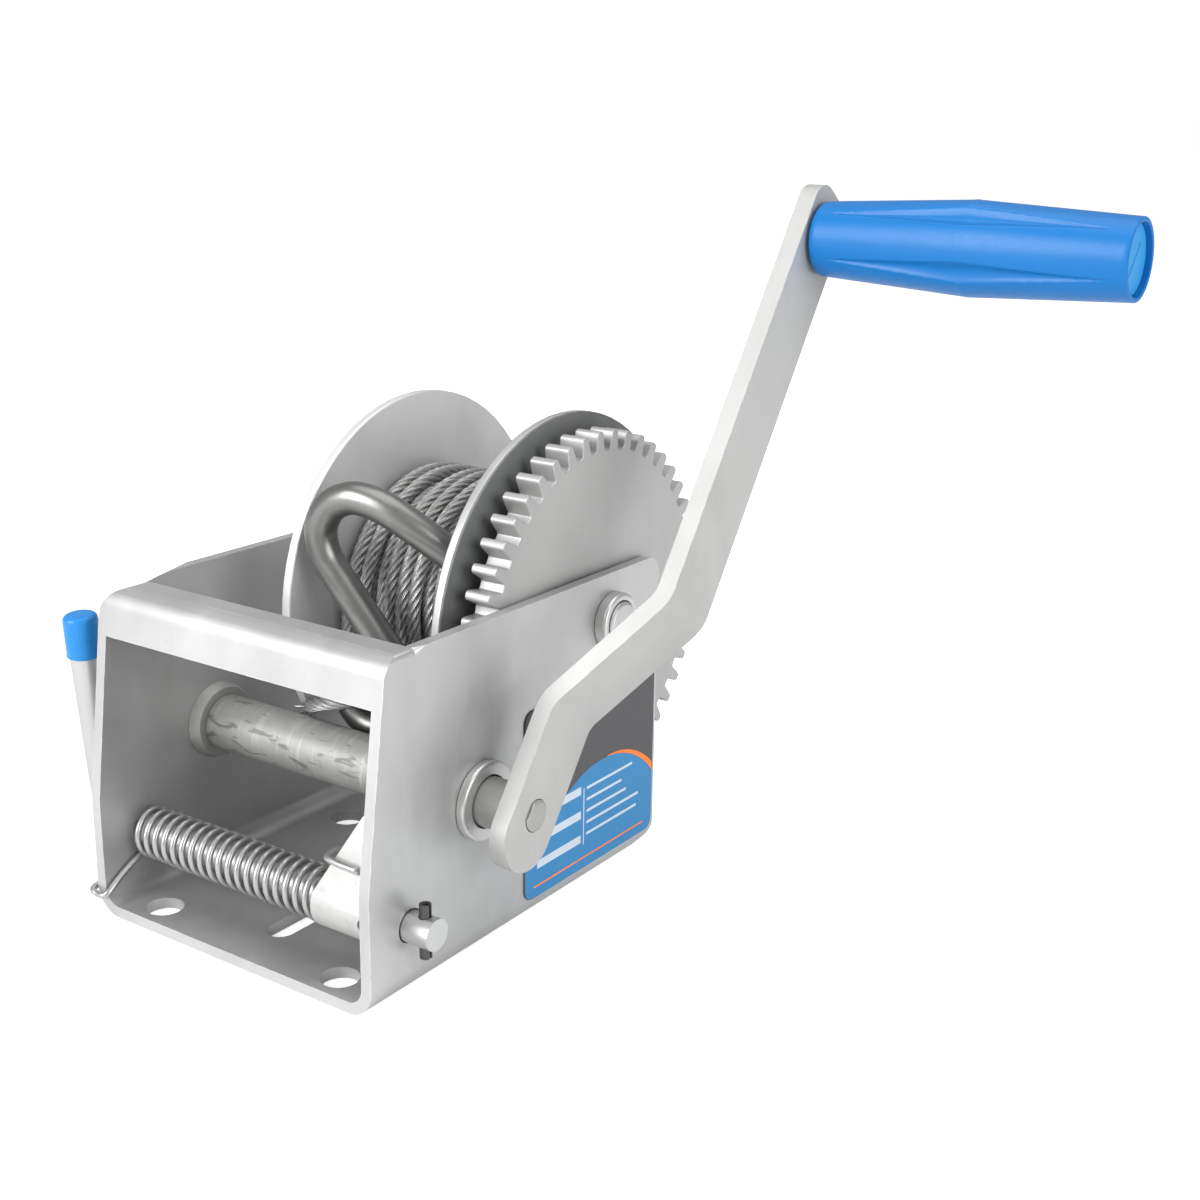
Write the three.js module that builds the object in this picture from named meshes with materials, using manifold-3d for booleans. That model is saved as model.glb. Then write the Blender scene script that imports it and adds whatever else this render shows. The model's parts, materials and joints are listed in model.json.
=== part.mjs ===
// Hand-operated boat trailer winch: a folded sheet-steel frame, a cable drum with its gear,
// a cranked pinion shaft, a sprung pawl with its release lever, and the stowed cable hook.
//
// Millimetres, +Z up. X runs along the shafts, towards the crank handle. Y runs from the
// front, where the pawl is, to the rear. The origin is on the underside of the base.

import * as THREE from 'three';
import { mergeVertices } from 'three/addons/utils/BufferGeometryUtils.js';
import Module from 'manifold-3d';

const wasm = await Module();
wasm.setup();

// ---------------------------------------------------------------- driving dimensions

const GAP = 0.3; // running clearance between neighbouring pieces
const THROUGH = 2; // how far a cutter passes beyond the face it cuts

// frame
const WIDTH = 100;
const LENGTH = 126;
const HEIGHT = 91.5;
const SHEET = 3.2;
const BEND = 8; // outside radius of the folds
const LEAN_START = 33; // height where the front edges of the walls begin to lean back
const LEAN = 7.8; // how far they lean at the top
const BRIDGE_DEPTH = 18.5;
const BRIDGE_DROP = 12.8;
const BASE_END = 120;
const ORIGIN_Y = LENGTH / 2; // pieces are drawn with y = 0 at the front edge, then moved by this

const WALL = WIDTH / 2;
const INNER = WALL - SHEET;

// gear train
const MODULE = 2.2;
const GEAR_TEETH = 46;
const PINION_TEETH = 15;
const DRUM_AXIS = { y: 101.5, z: 77.8 };
const CENTRE_DISTANCE = (MODULE * (GEAR_TEETH + PINION_TEETH)) / 2;
const CRANK_BEARING = THREE.MathUtils.degToRad(210.2); // direction from drum to crank shaft
const CRANK_AXIS = {
  y: DRUM_AXIS.y + CENTRE_DISTANCE * Math.cos(CRANK_BEARING),
  z: DRUM_AXIS.z + CENTRE_DISTANCE * Math.sin(CRANK_BEARING),
};
const GEAR_PHASE = THREE.MathUtils.degToRad(161);
const GEAR_LEFT = 38.3;
const GEAR_RIGHT = 46.1;

// drum
const FLANGE_RADIUS = 56.6;
const FLANGE_THICKNESS = 3;
const LEFT_FLANGE = -21.1; // left face of each flange
const RIGHT_FLANGE = 31.7;
const BARREL_RADIUS = 22;
const SLEEVE_RADIUS = 11;
const AXLE_RADIUS = 6;
const ROPE = 4;

// crank
const SHAFT_RADIUS = 8;
const JOURNAL_RADIUS = 6.7;
const ARM_ANGLE = THREE.MathUtils.degToRad(35); // lean of the arm towards the rear
const ARM_LENGTH = 168.7; // crank axis to grip axis
const ARM_WIDTH = 20;
const ARM_THICKNESS = 5;
const ARM_INNER = 62.3; // inner face of the arm beside the frame
const ARM_OFFSET = 22;
const GRIP_RADIUS = 12.2;
const GRIP_LEFT = ARM_INNER + ARM_OFFSET + ARM_THICKNESS + 0.9;
const GRIP_RIGHT = 174.5;

// pawl
const PAWL_AXIS = { y: 15, z: 20.1 };
const PAWL_ROD = 4.2; // radius of the lever rod
const LEVER_X = -61.9;
const LEVER_TOP = 59.4; // along the lever, from the pawl axis
const LEVER_LEAN = THREE.MathUtils.degToRad(5);
const SPRING_WIRE = 0.9; // radius of the spring wire
const SPRING_RADIUS = 6.4; // radius of the wire's centreline
const SPRING_TURNS = 19;

// hook
const HOOK_ROD = 4.5;
const EYE = { x: 3.7, z: 58.8, radius: 9.3 };

// ---------------------------------------------------------------- finishes

const finish = (color, roughness, metalness) =>
  new THREE.MeshStandardMaterial({ color, roughness, metalness });
const GALVANISED = finish('#c3c5c4', 0.45, 0.6);
const ZINC = finish('#cdcfcf', 0.3, 0.85);
const ROPE_STEEL = finish('#9b9d9b', 0.45, 0.7);
const SPRING_STEEL = finish('#b4b6b7', 0.3, 0.85);
const DARK_STEEL = finish('#4c4e50', 0.45, 0.8);
const BLUE_PLASTIC = finish('#1c7fe0', 0.4, 0);
const BUSH_STEEL = finish('#c9c9c6', 0.35, 0.8);
const STICKER = finish('#4d4d52', 0.5, 0);

// ---------------------------------------------------------------- solids

const AXES = {
  // local x, y, z of a drawn section, given as world directions
  acrossX: [[0, 1, 0], [0, 0, 1], [1, 0, 0]], // drawn in (y, z), extruded along +x
  alongY: [[1, 0, 0], [0, 0, 1], [0, -1, 0]], // drawn in (x, z), extruded along -y
  turnX: [[0, 0, 1], [1, 0, 0], [0, 1, 0]], // lathe axis laid along +x
};

function laid(geometry, axes) {
  const basis = axes.map((axis) => new THREE.Vector3(...axis));
  return geometry.applyMatrix4(new THREE.Matrix4().makeBasis(...basis));
}

function signedVolume(geometry) {
  const position = geometry.attributes.position;
  const index = geometry.index;
  const corner = [new THREE.Vector3(), new THREE.Vector3(), new THREE.Vector3()];
  let total = 0;
  for (let i = 0; i < index.count; i += 3) {
    corner.forEach((point, k) => point.fromBufferAttribute(position, index.getX(i + k)));
    total += corner[0].dot(corner[1].clone().cross(corner[2]));
  }
  return total / 6;
}

// A closed, merged, outward-facing copy of a geometry.
function closed(geometry) {
  const bare = geometry.clone();
  bare.deleteAttribute('normal');
  bare.deleteAttribute('uv');
  const merged = mergeVertices(bare, 1e-4);
  if (signedVolume(merged) < 0) {
    const index = merged.index.array;
    for (let i = 0; i < index.length; i += 3) {
      [index[i], index[i + 1]] = [index[i + 1], index[i]];
    }
  }
  return merged;
}

function solid(geometry) {
  const merged = closed(geometry);
  return new wasm.Manifold(
    new wasm.Mesh({
      numProp: 3,
      vertProperties: new Float32Array(merged.attributes.position.array),
      triVerts: new Uint32Array(merged.index.array),
    }),
  );
}

function surface(manifold) {
  const mesh = manifold.getMesh();
  const geometry = new THREE.BufferGeometry();
  const positions = new THREE.BufferAttribute(mesh.vertProperties, 3);
  geometry.setAttribute('position', positions);
  geometry.setIndex(new THREE.BufferAttribute(mesh.triVerts, 1));
  return geometry;
}

// A shape through corners [u, v, radius], each rounded by an arc of that radius.
function outline(corners) {
  const shape = new THREE.Shape();
  corners.forEach(([u, v, radius = 0], i) => {
    const before = corners[(i + corners.length - 1) % corners.length];
    const after = corners[(i + 1) % corners.length];
    const corner = new THREE.Vector2(u, v);
    const back = new THREE.Vector2(before[0], before[1]).sub(corner).normalize();
    const ahead = new THREE.Vector2(after[0], after[1]).sub(corner).normalize();
    if (radius === 0) {
      i === 0 ? shape.moveTo(u, v) : shape.lineTo(u, v);
      return;
    }
    const half = back.angleTo(ahead) / 2;
    const middle = back.clone().add(ahead).normalize();
    const centre = corner.clone().addScaledVector(middle, radius / Math.sin(half));
    const start = corner.clone().addScaledVector(back, radius / Math.tan(half));
    const end = corner.clone().addScaledVector(ahead, radius / Math.tan(half));
    i === 0 ? shape.moveTo(start.x, start.y) : shape.lineTo(start.x, start.y);
    const clockwise = back.cross(ahead) > 0;
    shape.absarc(
      centre.x,
      centre.y,
      radius,
      Math.atan2(start.y - centre.y, start.x - centre.x),
      Math.atan2(end.y - centre.y, end.x - centre.x),
      clockwise,
    );
  });
  return shape;
}

// A section drawn in (y, z), from x = from to x = to.
function slab(shape, from, to, curveSegments = 8) {
  const geometry = new THREE.ExtrudeGeometry(shape, {
    depth: to - from,
    bevelEnabled: false,
    curveSegments,
  });
  return laid(geometry, AXES.acrossX).translate(from, 0, 0);
}

// A section drawn in (x, z), from y = from to y = to.
function lengthwise(shape, from, to, curveSegments = 8) {
  const geometry = new THREE.ExtrudeGeometry(shape, {
    depth: to - from,
    bevelEnabled: false,
    curveSegments,
  });
  return laid(geometry, AXES.alongY).translate(0, to, 0);
}

// A ring or rod turned about the x direction: profile corners are [x, radius].
function turned(profile, axis, segments = 24) {
  const points = profile.map(([x, radius]) => new THREE.Vector2(radius, x));
  const onAxis = points[0].x === 0;
  if (!onAxis) points.push(points[0].clone());
  const geometry = new THREE.LatheGeometry(points, segments);
  return laid(geometry, AXES.turnX).translate(0, axis.y, axis.z);
}

function rod(from, to, radius, axis, segments = 24) {
  return turned([[from, 0], [from, radius], [to, radius], [to, 0]], axis, segments);
}

function tube(from, to, inner, outer, axis, segments = 24) {
  return turned([[from, inner], [from, outer], [to, outer], [to, inner]], axis, segments);
}

// A round rod between two points.
function pin(start, end, radius, segments = 16) {
  const along = end.clone().sub(start);
  const geometry = new THREE.CylinderGeometry(radius, radius, along.length(), segments);
  const up = new THREE.Vector3(0, 1, 0);
  const turn = new THREE.Quaternion().setFromUnitVectors(up, along.clone().normalize());
  geometry.applyQuaternion(turn);
  const middle = start.clone().add(end).multiplyScalar(0.5);
  return geometry.translate(middle.x, middle.y, middle.z);
}

// A round wire or rope along a curve.
function wire(curve, radius, steps, sides) {
  const section = new THREE.Shape();
  section.absarc(0, 0, radius, 0, Math.PI * 2);
  return new THREE.ExtrudeGeometry(section, {
    steps,
    curveSegments: sides / 2,
    extrudePath: curve,
  });
}

function box(from, to) {
  const size = to.map((value, i) => value - from[i]);
  const middle = to.map((value, i) => (value + from[i]) / 2);
  return new THREE.BoxGeometry(...size).translate(...middle);
}

function cut(geometry, ...cutters) {
  return surface(cutters.map(solid).reduce((left, one) => left.subtract(one), solid(geometry)));
}

function joined(geometry, ...others) {
  return surface(others.map(solid).reduce((left, one) => left.add(one), solid(geometry)));
}

function common(geometry, ...others) {
  return surface(others.map(solid).reduce((left, one) => left.intersect(one), solid(geometry)));
}

function piece(name, geometry, material) {
  const mesh = new THREE.Mesh(closed(geometry), material);
  mesh.name = name;
  return mesh;
}

// ---------------------------------------------------------------- frame

const BASE_HOLE = { x: 32.4, frontY: 7.8, rearY: 81, radius: 5.2 };
const SLOT = { x: 2.6, from: 13, to: 46, radius: 4 };
const CRANK_HOLE = 9;
const DRUM_HOLE = 7.4;
const PAWL_HOLE = PAWL_ROD + 0.35;
const REAR_CORNER = 5.5;
const TOP_ROLL = 6;

function leanAt(z) {
  return (LEAN * (z - LEAN_START)) / (HEIGHT - LEAN_START);
}

function frameGeometry() {
  const channel = outline([
    [-WALL, HEIGHT],
    [-WALL, 0, BEND],
    [WALL, 0, BEND],
    [WALL, HEIGHT],
    [INNER, HEIGHT],
    [INNER, SHEET, BEND - SHEET],
    [-INNER, SHEET, BEND - SHEET],
    [-INNER, HEIGHT],
  ]);
  const side = outline([
    [0, 0],
    [0, LEAN_START, 30],
    [LEAN, HEIGHT, TOP_ROLL],
    [LENGTH, HEIGHT, REAR_CORNER],
    [LENGTH, SHEET, REAR_CORNER],
    [BASE_END, SHEET],
    [BASE_END, 0],
  ]);
  const folded = common(
    lengthwise(channel, 0, LENGTH, 10),
    slab(side, -WALL - THROUGH, WALL + THROUGH, 8),
  );
  const dropZ = HEIGHT - BRIDGE_DROP;
  const innerRoll = TOP_ROLL - SHEET;
  const bridge = outline([
    [leanAt(dropZ), dropZ],
    [LEAN, HEIGHT, TOP_ROLL],
    [BRIDGE_DEPTH, HEIGHT],
    [BRIDGE_DEPTH, HEIGHT - SHEET],
    [LEAN + SHEET, HEIGHT - SHEET, innerRoll],
    [leanAt(dropZ) + SHEET, dropZ],
  ]);
  const shell = joined(folded, slab(bridge, -WALL, WALL, 8));
  const cutters = [
    cornerCutter(-1, BEND),
    cornerFade(-1, BEND),
    cornerCutter(1, 1.6),
    cornerFade(1, 1.6),
    rod(-WALL - THROUGH, WALL + THROUGH, CRANK_HOLE, CRANK_AXIS, 24),
    rod(-WALL - THROUGH, WALL + THROUGH, DRUM_HOLE, DRUM_AXIS, 24),
    rod(-WALL - THROUGH, WALL + THROUGH, PAWL_HOLE, PAWL_AXIS, 20),
    ...baseHoles(),
  ];
  return cut(shell, ...cutters);
}

// The waste outside the rounded corner where the bridge meets a wall.
function cornerSection(sideSign, radius) {
  const shape = new THREE.Shape();
  const outer = sideSign * (WALL + THROUGH);
  const edge = sideSign * WALL;
  const inner = sideSign * (WALL - radius);
  shape.moveTo(outer, HEIGHT + THROUGH);
  shape.lineTo(outer, HEIGHT - radius);
  shape.lineTo(edge, HEIGHT - radius);
  const start = sideSign > 0 ? 0 : Math.PI;
  shape.absarc(inner, HEIGHT - radius, radius, start, Math.PI / 2, sideSign < 0);
  shape.lineTo(inner, HEIGHT + THROUGH);
  return shape;
}

function cornerCutter(sideSign, radius) {
  return lengthwise(cornerSection(sideSign, radius), -THROUGH, BRIDGE_DEPTH, 8);
}

// Fades the rounded corner out along the wall's top edge, behind the bridge.
function cornerFade(sideSign, radius) {
  const length = radius * 2.4;
  const start = BRIDGE_DEPTH - 0.01;
  const geometry = lengthwise(cornerSection(sideSign, radius), start, start + length, 8);
  const position = geometry.attributes.position;
  const edge = sideSign * WALL;
  for (let i = 0; i < position.count; i += 1) {
    const keep = 1 - (0.98 * (position.getY(i) - start)) / length;
    position.setX(i, edge + (position.getX(i) - edge) * keep);
    position.setZ(i, HEIGHT + (position.getZ(i) - HEIGHT) * keep);
  }
  return geometry;
}

function baseHoles() {
  const down = (x, y, radius) =>
    pin(new THREE.Vector3(x, y, -THROUGH), new THREE.Vector3(x, y, SHEET + THROUGH), radius, 28);
  const holes = [];
  for (const x of [-BASE_HOLE.x, BASE_HOLE.x]) {
    holes.push(down(x, BASE_HOLE.frontY, BASE_HOLE.radius));
    holes.push(down(x, BASE_HOLE.rearY, BASE_HOLE.radius));
  }
  holes.push(down(SLOT.x, SLOT.from + SLOT.radius, SLOT.radius));
  holes.push(down(SLOT.x, SLOT.to - SLOT.radius, SLOT.radius));
  holes.push(
    box(
      [SLOT.x - SLOT.radius, SLOT.from + SLOT.radius, -THROUGH],
      [SLOT.x + SLOT.radius, SLOT.to - SLOT.radius, SHEET + THROUGH],
    ),
  );
  return holes;
}

// ---------------------------------------------------------------- bushes and drum axle

const CRANK_BUSH = { body: CRANK_HOLE - 0.1, bore: JOURNAL_RADIUS + 0.3, flange: 10.8, lip: 2.6 };
const DRUM_BUSH = { body: DRUM_HOLE - 0.1, bore: AXLE_RADIUS + 0.25, flange: 8.7, lip: 2 };
const RIGHT_DRUM_BUSH = { ...DRUM_BUSH, flange: 8.3, lip: 3.8 };

// A flanged bush whose flange faces outwards, on the right (side 1) or left (side -1).
function bush(size, side, axis) {
  const chamfer = 0.6;
  const lipStart = WALL + 0.05;
  const profile = [
    [INNER, size.bore],
    [INNER, size.body],
    [lipStart, size.body],
    [lipStart, size.flange],
    [WALL + size.lip - chamfer, size.flange],
    [WALL + size.lip, size.flange - chamfer],
    [WALL + size.lip, size.bore],
  ].map(([x, radius]) => [side * x, radius]);
  return turned(profile, axis, 32);
}

// The left crank bush goes in from inside the frame, with a tapered collar.
function leftCrankBush() {
  const collar = { wide: 11.4, narrow: 10.2, length: 3.4 };
  const inside = -INNER + 0.05;
  return turned(
    [
      [-WALL, CRANK_BUSH.bore],
      [-WALL, CRANK_BUSH.body],
      [inside, CRANK_BUSH.body],
      [inside, collar.wide],
      [inside + collar.length, collar.narrow],
      [inside + collar.length, CRANK_BUSH.bore],
    ],
    CRANK_AXIS,
  );
}

const CLIP_THICKNESS = 1.2;
const WASHER_THICKNESS = 1.5;
const AXLE_END = WALL + DRUM_BUSH.lip;
const AXLE_RIGHT = WALL + RIGHT_DRUM_BUSH.lip + 0.9;

function clipRing(left, grooveRadius, outer, axis) {
  const ring = tube(left, left + CLIP_THICKNESS, grooveRadius, outer, axis, 20);
  const mouth = 3.5;
  const opening = box(
    [left - THROUGH, axis.y - mouth / 2, axis.z - outer - THROUGH],
    [left + CLIP_THICKNESS + THROUGH, axis.y + mouth / 2, axis.z],
  );
  return cut(ring, opening);
}

// A shaft end at the left with a groove for a clip, outside the bush and washer.
function clipGroove(x) {
  return { from: x - CLIP_THICKNESS - 0.2, to: x + 0.1 };
}

const DRUM_CLIP_X = -AXLE_END - 0.2 - WASHER_THICKNESS - 0.2;

function drumAxle() {
  const groove = clipGroove(DRUM_CLIP_X);
  const grooveRadius = AXLE_RADIUS - 1;
  const end = groove.from - 1.6;
  return turned(
    [
      [end, 0],
      [end, AXLE_RADIUS - 0.6],
      [end + 0.6, AXLE_RADIUS],
      [groove.from, AXLE_RADIUS],
      [groove.from, grooveRadius],
      [groove.to, grooveRadius],
      [groove.to, AXLE_RADIUS],
      [AXLE_RIGHT - 0.8, AXLE_RADIUS],
      [AXLE_RIGHT, AXLE_RADIUS - 0.8],
      [AXLE_RIGHT, 0],
    ],
    DRUM_AXIS,
    20,
  );
}

// ---------------------------------------------------------------- drum

const GEAR_ROOT = 47.5;
const GEAR_TIP = (MODULE * (GEAR_TEETH + 2)) / 2;
const PINION_TIP = (MODULE * (PINION_TEETH + 2)) / 2;
const PINION_ROOT = 13.6;

// A toothed wheel with straight-sided teeth: land widths are arc lengths at tip and root.
function toothed({ teeth, root, tip, tipLand, baseWidth, phase }) {
  const shape = new THREE.Shape();
  const at = (radius, angle) => [radius * Math.cos(angle), radius * Math.sin(angle)];
  for (let i = 0; i < teeth; i += 1) {
    const middle = phase + (i * 2 * Math.PI) / teeth;
    const base = baseWidth / 2 / root;
    const land = tipLand / 2 / tip;
    const corners = [
      at(root, middle - base),
      at(tip, middle - land),
      at(tip, middle + land),
      at(root, middle + base),
    ];
    corners.forEach(([u, v], k) => (i + k === 0 ? shape.moveTo(u, v) : shape.lineTo(u, v)));
  }
  return shape;
}

const GEAR_BORE = SLEEVE_RADIUS + 0.15;

function drumGear() {
  const shape = toothed({
    teeth: GEAR_TEETH,
    root: GEAR_ROOT,
    tip: GEAR_TIP,
    tipLand: 2.5,
    baseWidth: 3.9,
    phase: GEAR_PHASE,
  });
  const wheel = slab(shape, GEAR_LEFT, GEAR_RIGHT).translate(0, DRUM_AXIS.y, DRUM_AXIS.z);
  const bossStart = RIGHT_FLANGE + FLANGE_THICKNESS + 0.2;
  const boss = rod(bossStart, GEAR_LEFT + 1, 17, DRUM_AXIS);
  const bore = rod(bossStart - THROUGH, GEAR_RIGHT + THROUGH, GEAR_BORE, DRUM_AXIS);
  return cut(joined(wheel, boss), bore);
}

function flange(left) {
  const chamfer = 0.4;
  const right = left + FLANGE_THICKNESS;
  return turned(
    [
      [left, GEAR_BORE],
      [left, FLANGE_RADIUS - chamfer],
      [left + chamfer, FLANGE_RADIUS],
      [right - chamfer, FLANGE_RADIUS],
      [right, FLANGE_RADIUS - chamfer],
      [right, GEAR_BORE],
    ],
    DRUM_AXIS,
    64,
  );
}

// The anchor clamps the inner end of the rope against the outside of the left flange.
const ANCHOR = { y: 24, z: 22 }; // from the drum axis
const ANCHOR_BOLT = 3;
const ANCHOR_PLATE = { thickness: 2.5, width: 13, height: 22 };

function anchorPoint(x) {
  return new THREE.Vector3(x, DRUM_AXIS.y + ANCHOR.y, DRUM_AXIS.z + ANCHOR.z);
}

function leftFlange() {
  const bolt = pin(
    anchorPoint(LEFT_FLANGE - THROUGH),
    anchorPoint(LEFT_FLANGE + FLANGE_THICKNESS + THROUGH),
    ANCHOR_BOLT + 0.25,
    20,
  );
  const sink = pin(
    anchorPoint(LEFT_FLANGE + 1.2),
    anchorPoint(LEFT_FLANGE + FLANGE_THICKNESS + THROUGH),
    ANCHOR_BOLT * 2 + 0.2,
    20,
  );
  return cut(flange(LEFT_FLANGE), bolt, sink);
}

const ANCHOR_ROPE_X = LEFT_FLANGE - 0.2 - ROPE / 2;
const PLATE_RIGHT = ANCHOR_ROPE_X - ROPE / 2 - 0.2;
const PLATE_LEFT = PLATE_RIGHT - ANCHOR_PLATE.thickness;

function anchorBolt() {
  const headFace = LEFT_FLANGE + FLANGE_THICKNESS - 0.1;
  return joined(
    pin(anchorPoint(LEFT_FLANGE + 1.4), anchorPoint(headFace), ANCHOR_BOLT * 2, 20),
    pin(anchorPoint(PLATE_LEFT - 8), anchorPoint(headFace - 0.5), ANCHOR_BOLT, 20),
  );
}

function anchorPlate() {
  const centre = anchorPoint(0);
  const half = { y: ANCHOR_PLATE.width / 2, z: ANCHOR_PLATE.height / 2 };
  const plate = slab(
    outline([
      [centre.y - half.y, centre.z - half.z, 2.5],
      [centre.y + half.y, centre.z - half.z, 2.5],
      [centre.y + half.y, centre.z + half.z, 2.5],
      [centre.y - half.y, centre.z + half.z, 2.5],
    ]),
    PLATE_LEFT,
    PLATE_RIGHT,
    4,
  );
  const start = anchorPoint(PLATE_LEFT - THROUGH);
  const end = anchorPoint(PLATE_RIGHT + THROUGH);
  return cut(plate, pin(start, end, ANCHOR_BOLT + 0.25, 20));
}

function anchorNut() {
  const left = PLATE_LEFT - 0.2 - 5;
  const right = PLATE_LEFT - 0.2;
  const hex = pin(anchorPoint(left), anchorPoint(right), 5.8, 6);
  const hole = pin(anchorPoint(left - 1), anchorPoint(right + 1), ANCHOR_BOLT + 0.2, 20);
  return cut(hex, hole);
}

function anchorRope() {
  const centre = anchorPoint(ANCHOR_ROPE_X);
  const offset = ANCHOR_BOLT + 0.3 + ROPE / 2;
  const start = centre.clone().add(new THREE.Vector3(0, -offset, -15));
  const end = centre.clone().add(new THREE.Vector3(0, -offset, 16));
  return pin(start, end, ROPE / 2, 12);
}

const WINDING = { left: LEFT_FLANGE + FLANGE_THICKNESS + GAP, right: RIGHT_FLANGE - GAP };
const WINDING_RADIUS = 33.2;
const WINDING_CROWN = 35.6; // where the last turns cross over

function ropeWinding() {
  const inner = BARREL_RADIUS + 0.2;
  return turned(
    [
      [WINDING.left, inner],
      [WINDING.left, WINDING_RADIUS - 1.6],
      [WINDING.left + 7, WINDING_RADIUS],
      [WINDING.left + 13, WINDING_CROWN],
      [WINDING.right - 17, WINDING_CROWN],
      [WINDING.right - 10, WINDING_RADIUS],
      [WINDING.right, WINDING_RADIUS - 1],
      [WINDING.right, inner],
    ],
    DRUM_AXIS,
    40,
  );
}

// ---------------------------------------------------------------- crank

const PINION_LEFT = 38.3;
const PINION_RIGHT = INNER - 0.5;
const KEY = { width: 4, bottom: 6.2, top: 9.6 };
const KEY_PLAY = 0.1;
const ARM_OUTER = ARM_INNER + ARM_THICKNESS;
const ARM_END_RADIUS = 4.2; // squared end of the shaft where it passes through the arm
const CRANK_CLIP_X = -WALL - 0.3 - WASHER_THICKNESS - 0.2;
const SHOULDER_LEFT = -INNER + 0.05 + 3.4 + 0.25;

function pinionKey() {
  const half = KEY.width / 2;
  const { y, z } = CRANK_AXIS;
  return box(
    [PINION_LEFT + KEY_PLAY, y - half, z + KEY.bottom],
    [PINION_RIGHT - KEY_PLAY, y + half, z + KEY.top],
  );
}

function crankShaft() {
  const groove = clipGroove(CRANK_CLIP_X);
  const grooveRadius = JOURNAL_RADIUS - 1;
  const end = groove.from - 1.6;
  const shaft = turned(
    [
      [end, 0],
      [end, JOURNAL_RADIUS - 0.6],
      [end + 0.6, JOURNAL_RADIUS],
      [groove.from, JOURNAL_RADIUS],
      [groove.from, grooveRadius],
      [groove.to, grooveRadius],
      [groove.to, JOURNAL_RADIUS],
      [SHOULDER_LEFT, JOURNAL_RADIUS],
      [SHOULDER_LEFT, SHAFT_RADIUS],
      [INNER - 0.3, SHAFT_RADIUS],
      [INNER - 0.3, JOURNAL_RADIUS],
      [ARM_INNER - 0.1, JOURNAL_RADIUS],
      [ARM_INNER - 0.1, ARM_END_RADIUS],
      [ARM_OUTER + 0.2, ARM_END_RADIUS],
      [ARM_OUTER + 0.7, ARM_END_RADIUS - 0.8],
      [ARM_OUTER + 0.7, 0],
    ],
    CRANK_AXIS,
    20,
  );
  const half = KEY.width / 2 + KEY_PLAY;
  const { y, z } = CRANK_AXIS;
  const keyseat = box(
    [PINION_LEFT - GAP, y - half, z + KEY.bottom - KEY_PLAY],
    [PINION_RIGHT + GAP, y + half, z + KEY.top + THROUGH],
  );
  return cut(shaft, keyseat, ...shaftFlats(0));
}

// The two flats on the squared shaft end, lying along the arm.
function shaftFlats(play) {
  const reach = 20;
  return [-1, 1].map((side) => {
    const depth = ARM_END_RADIUS * 0.84 + play;
    const flat = box([ARM_INNER - 0.1, depth, -reach], [ARM_OUTER + THROUGH, depth + reach, reach]);
    flat.rotateX(-ARM_ANGLE + (side > 0 ? 0 : Math.PI));
    return flat.translate(0, CRANK_AXIS.y, CRANK_AXIS.z);
  });
}

function pinion() {
  const gearTooth = (CRANK_BEARING - GEAR_PHASE) / ((2 * Math.PI) / GEAR_TEETH);
  const offTooth = (gearTooth - Math.round(gearTooth)) * (GEAR_TEETH / PINION_TEETH);
  const pitchAngle = (2 * Math.PI) / PINION_TEETH;
  const spaceAt = CRANK_BEARING + Math.PI + (offTooth * 2 * Math.PI) / GEAR_TEETH;
  const shape = toothed({
    teeth: PINION_TEETH,
    root: PINION_ROOT,
    tip: PINION_TIP,
    tipLand: 1.7,
    baseWidth: 3.1,
    phase: spaceAt + pitchAngle / 2,
  });
  const wheel = slab(shape, PINION_LEFT, PINION_RIGHT).translate(0, CRANK_AXIS.y, CRANK_AXIS.z);
  const bore = rod(PINION_LEFT - 1, PINION_RIGHT + 1, SHAFT_RADIUS + 0.15, CRANK_AXIS);
  const half = KEY.width / 2 + KEY_PLAY;
  const keyway = box(
    [PINION_LEFT - 1, CRANK_AXIS.y - half, CRANK_AXIS.z],
    [PINION_RIGHT + 1, CRANK_AXIS.y + half, CRANK_AXIS.z + KEY.top + KEY_PLAY],
  );
  return cut(wheel, bore, keyway);
}

const armDirection = new THREE.Vector3(0, Math.sin(ARM_ANGLE), Math.cos(ARM_ANGLE));

function alongArm(x, distance) {
  const point = armDirection.clone().multiplyScalar(distance);
  return point.add(new THREE.Vector3(x, CRANK_AXIS.y, CRANK_AXIS.z));
}

const GRIP_AXIS = { y: alongArm(0, ARM_LENGTH).y, z: alongArm(0, ARM_LENGTH).z };
const SPINDLE_HOLE = 4.4;

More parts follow.
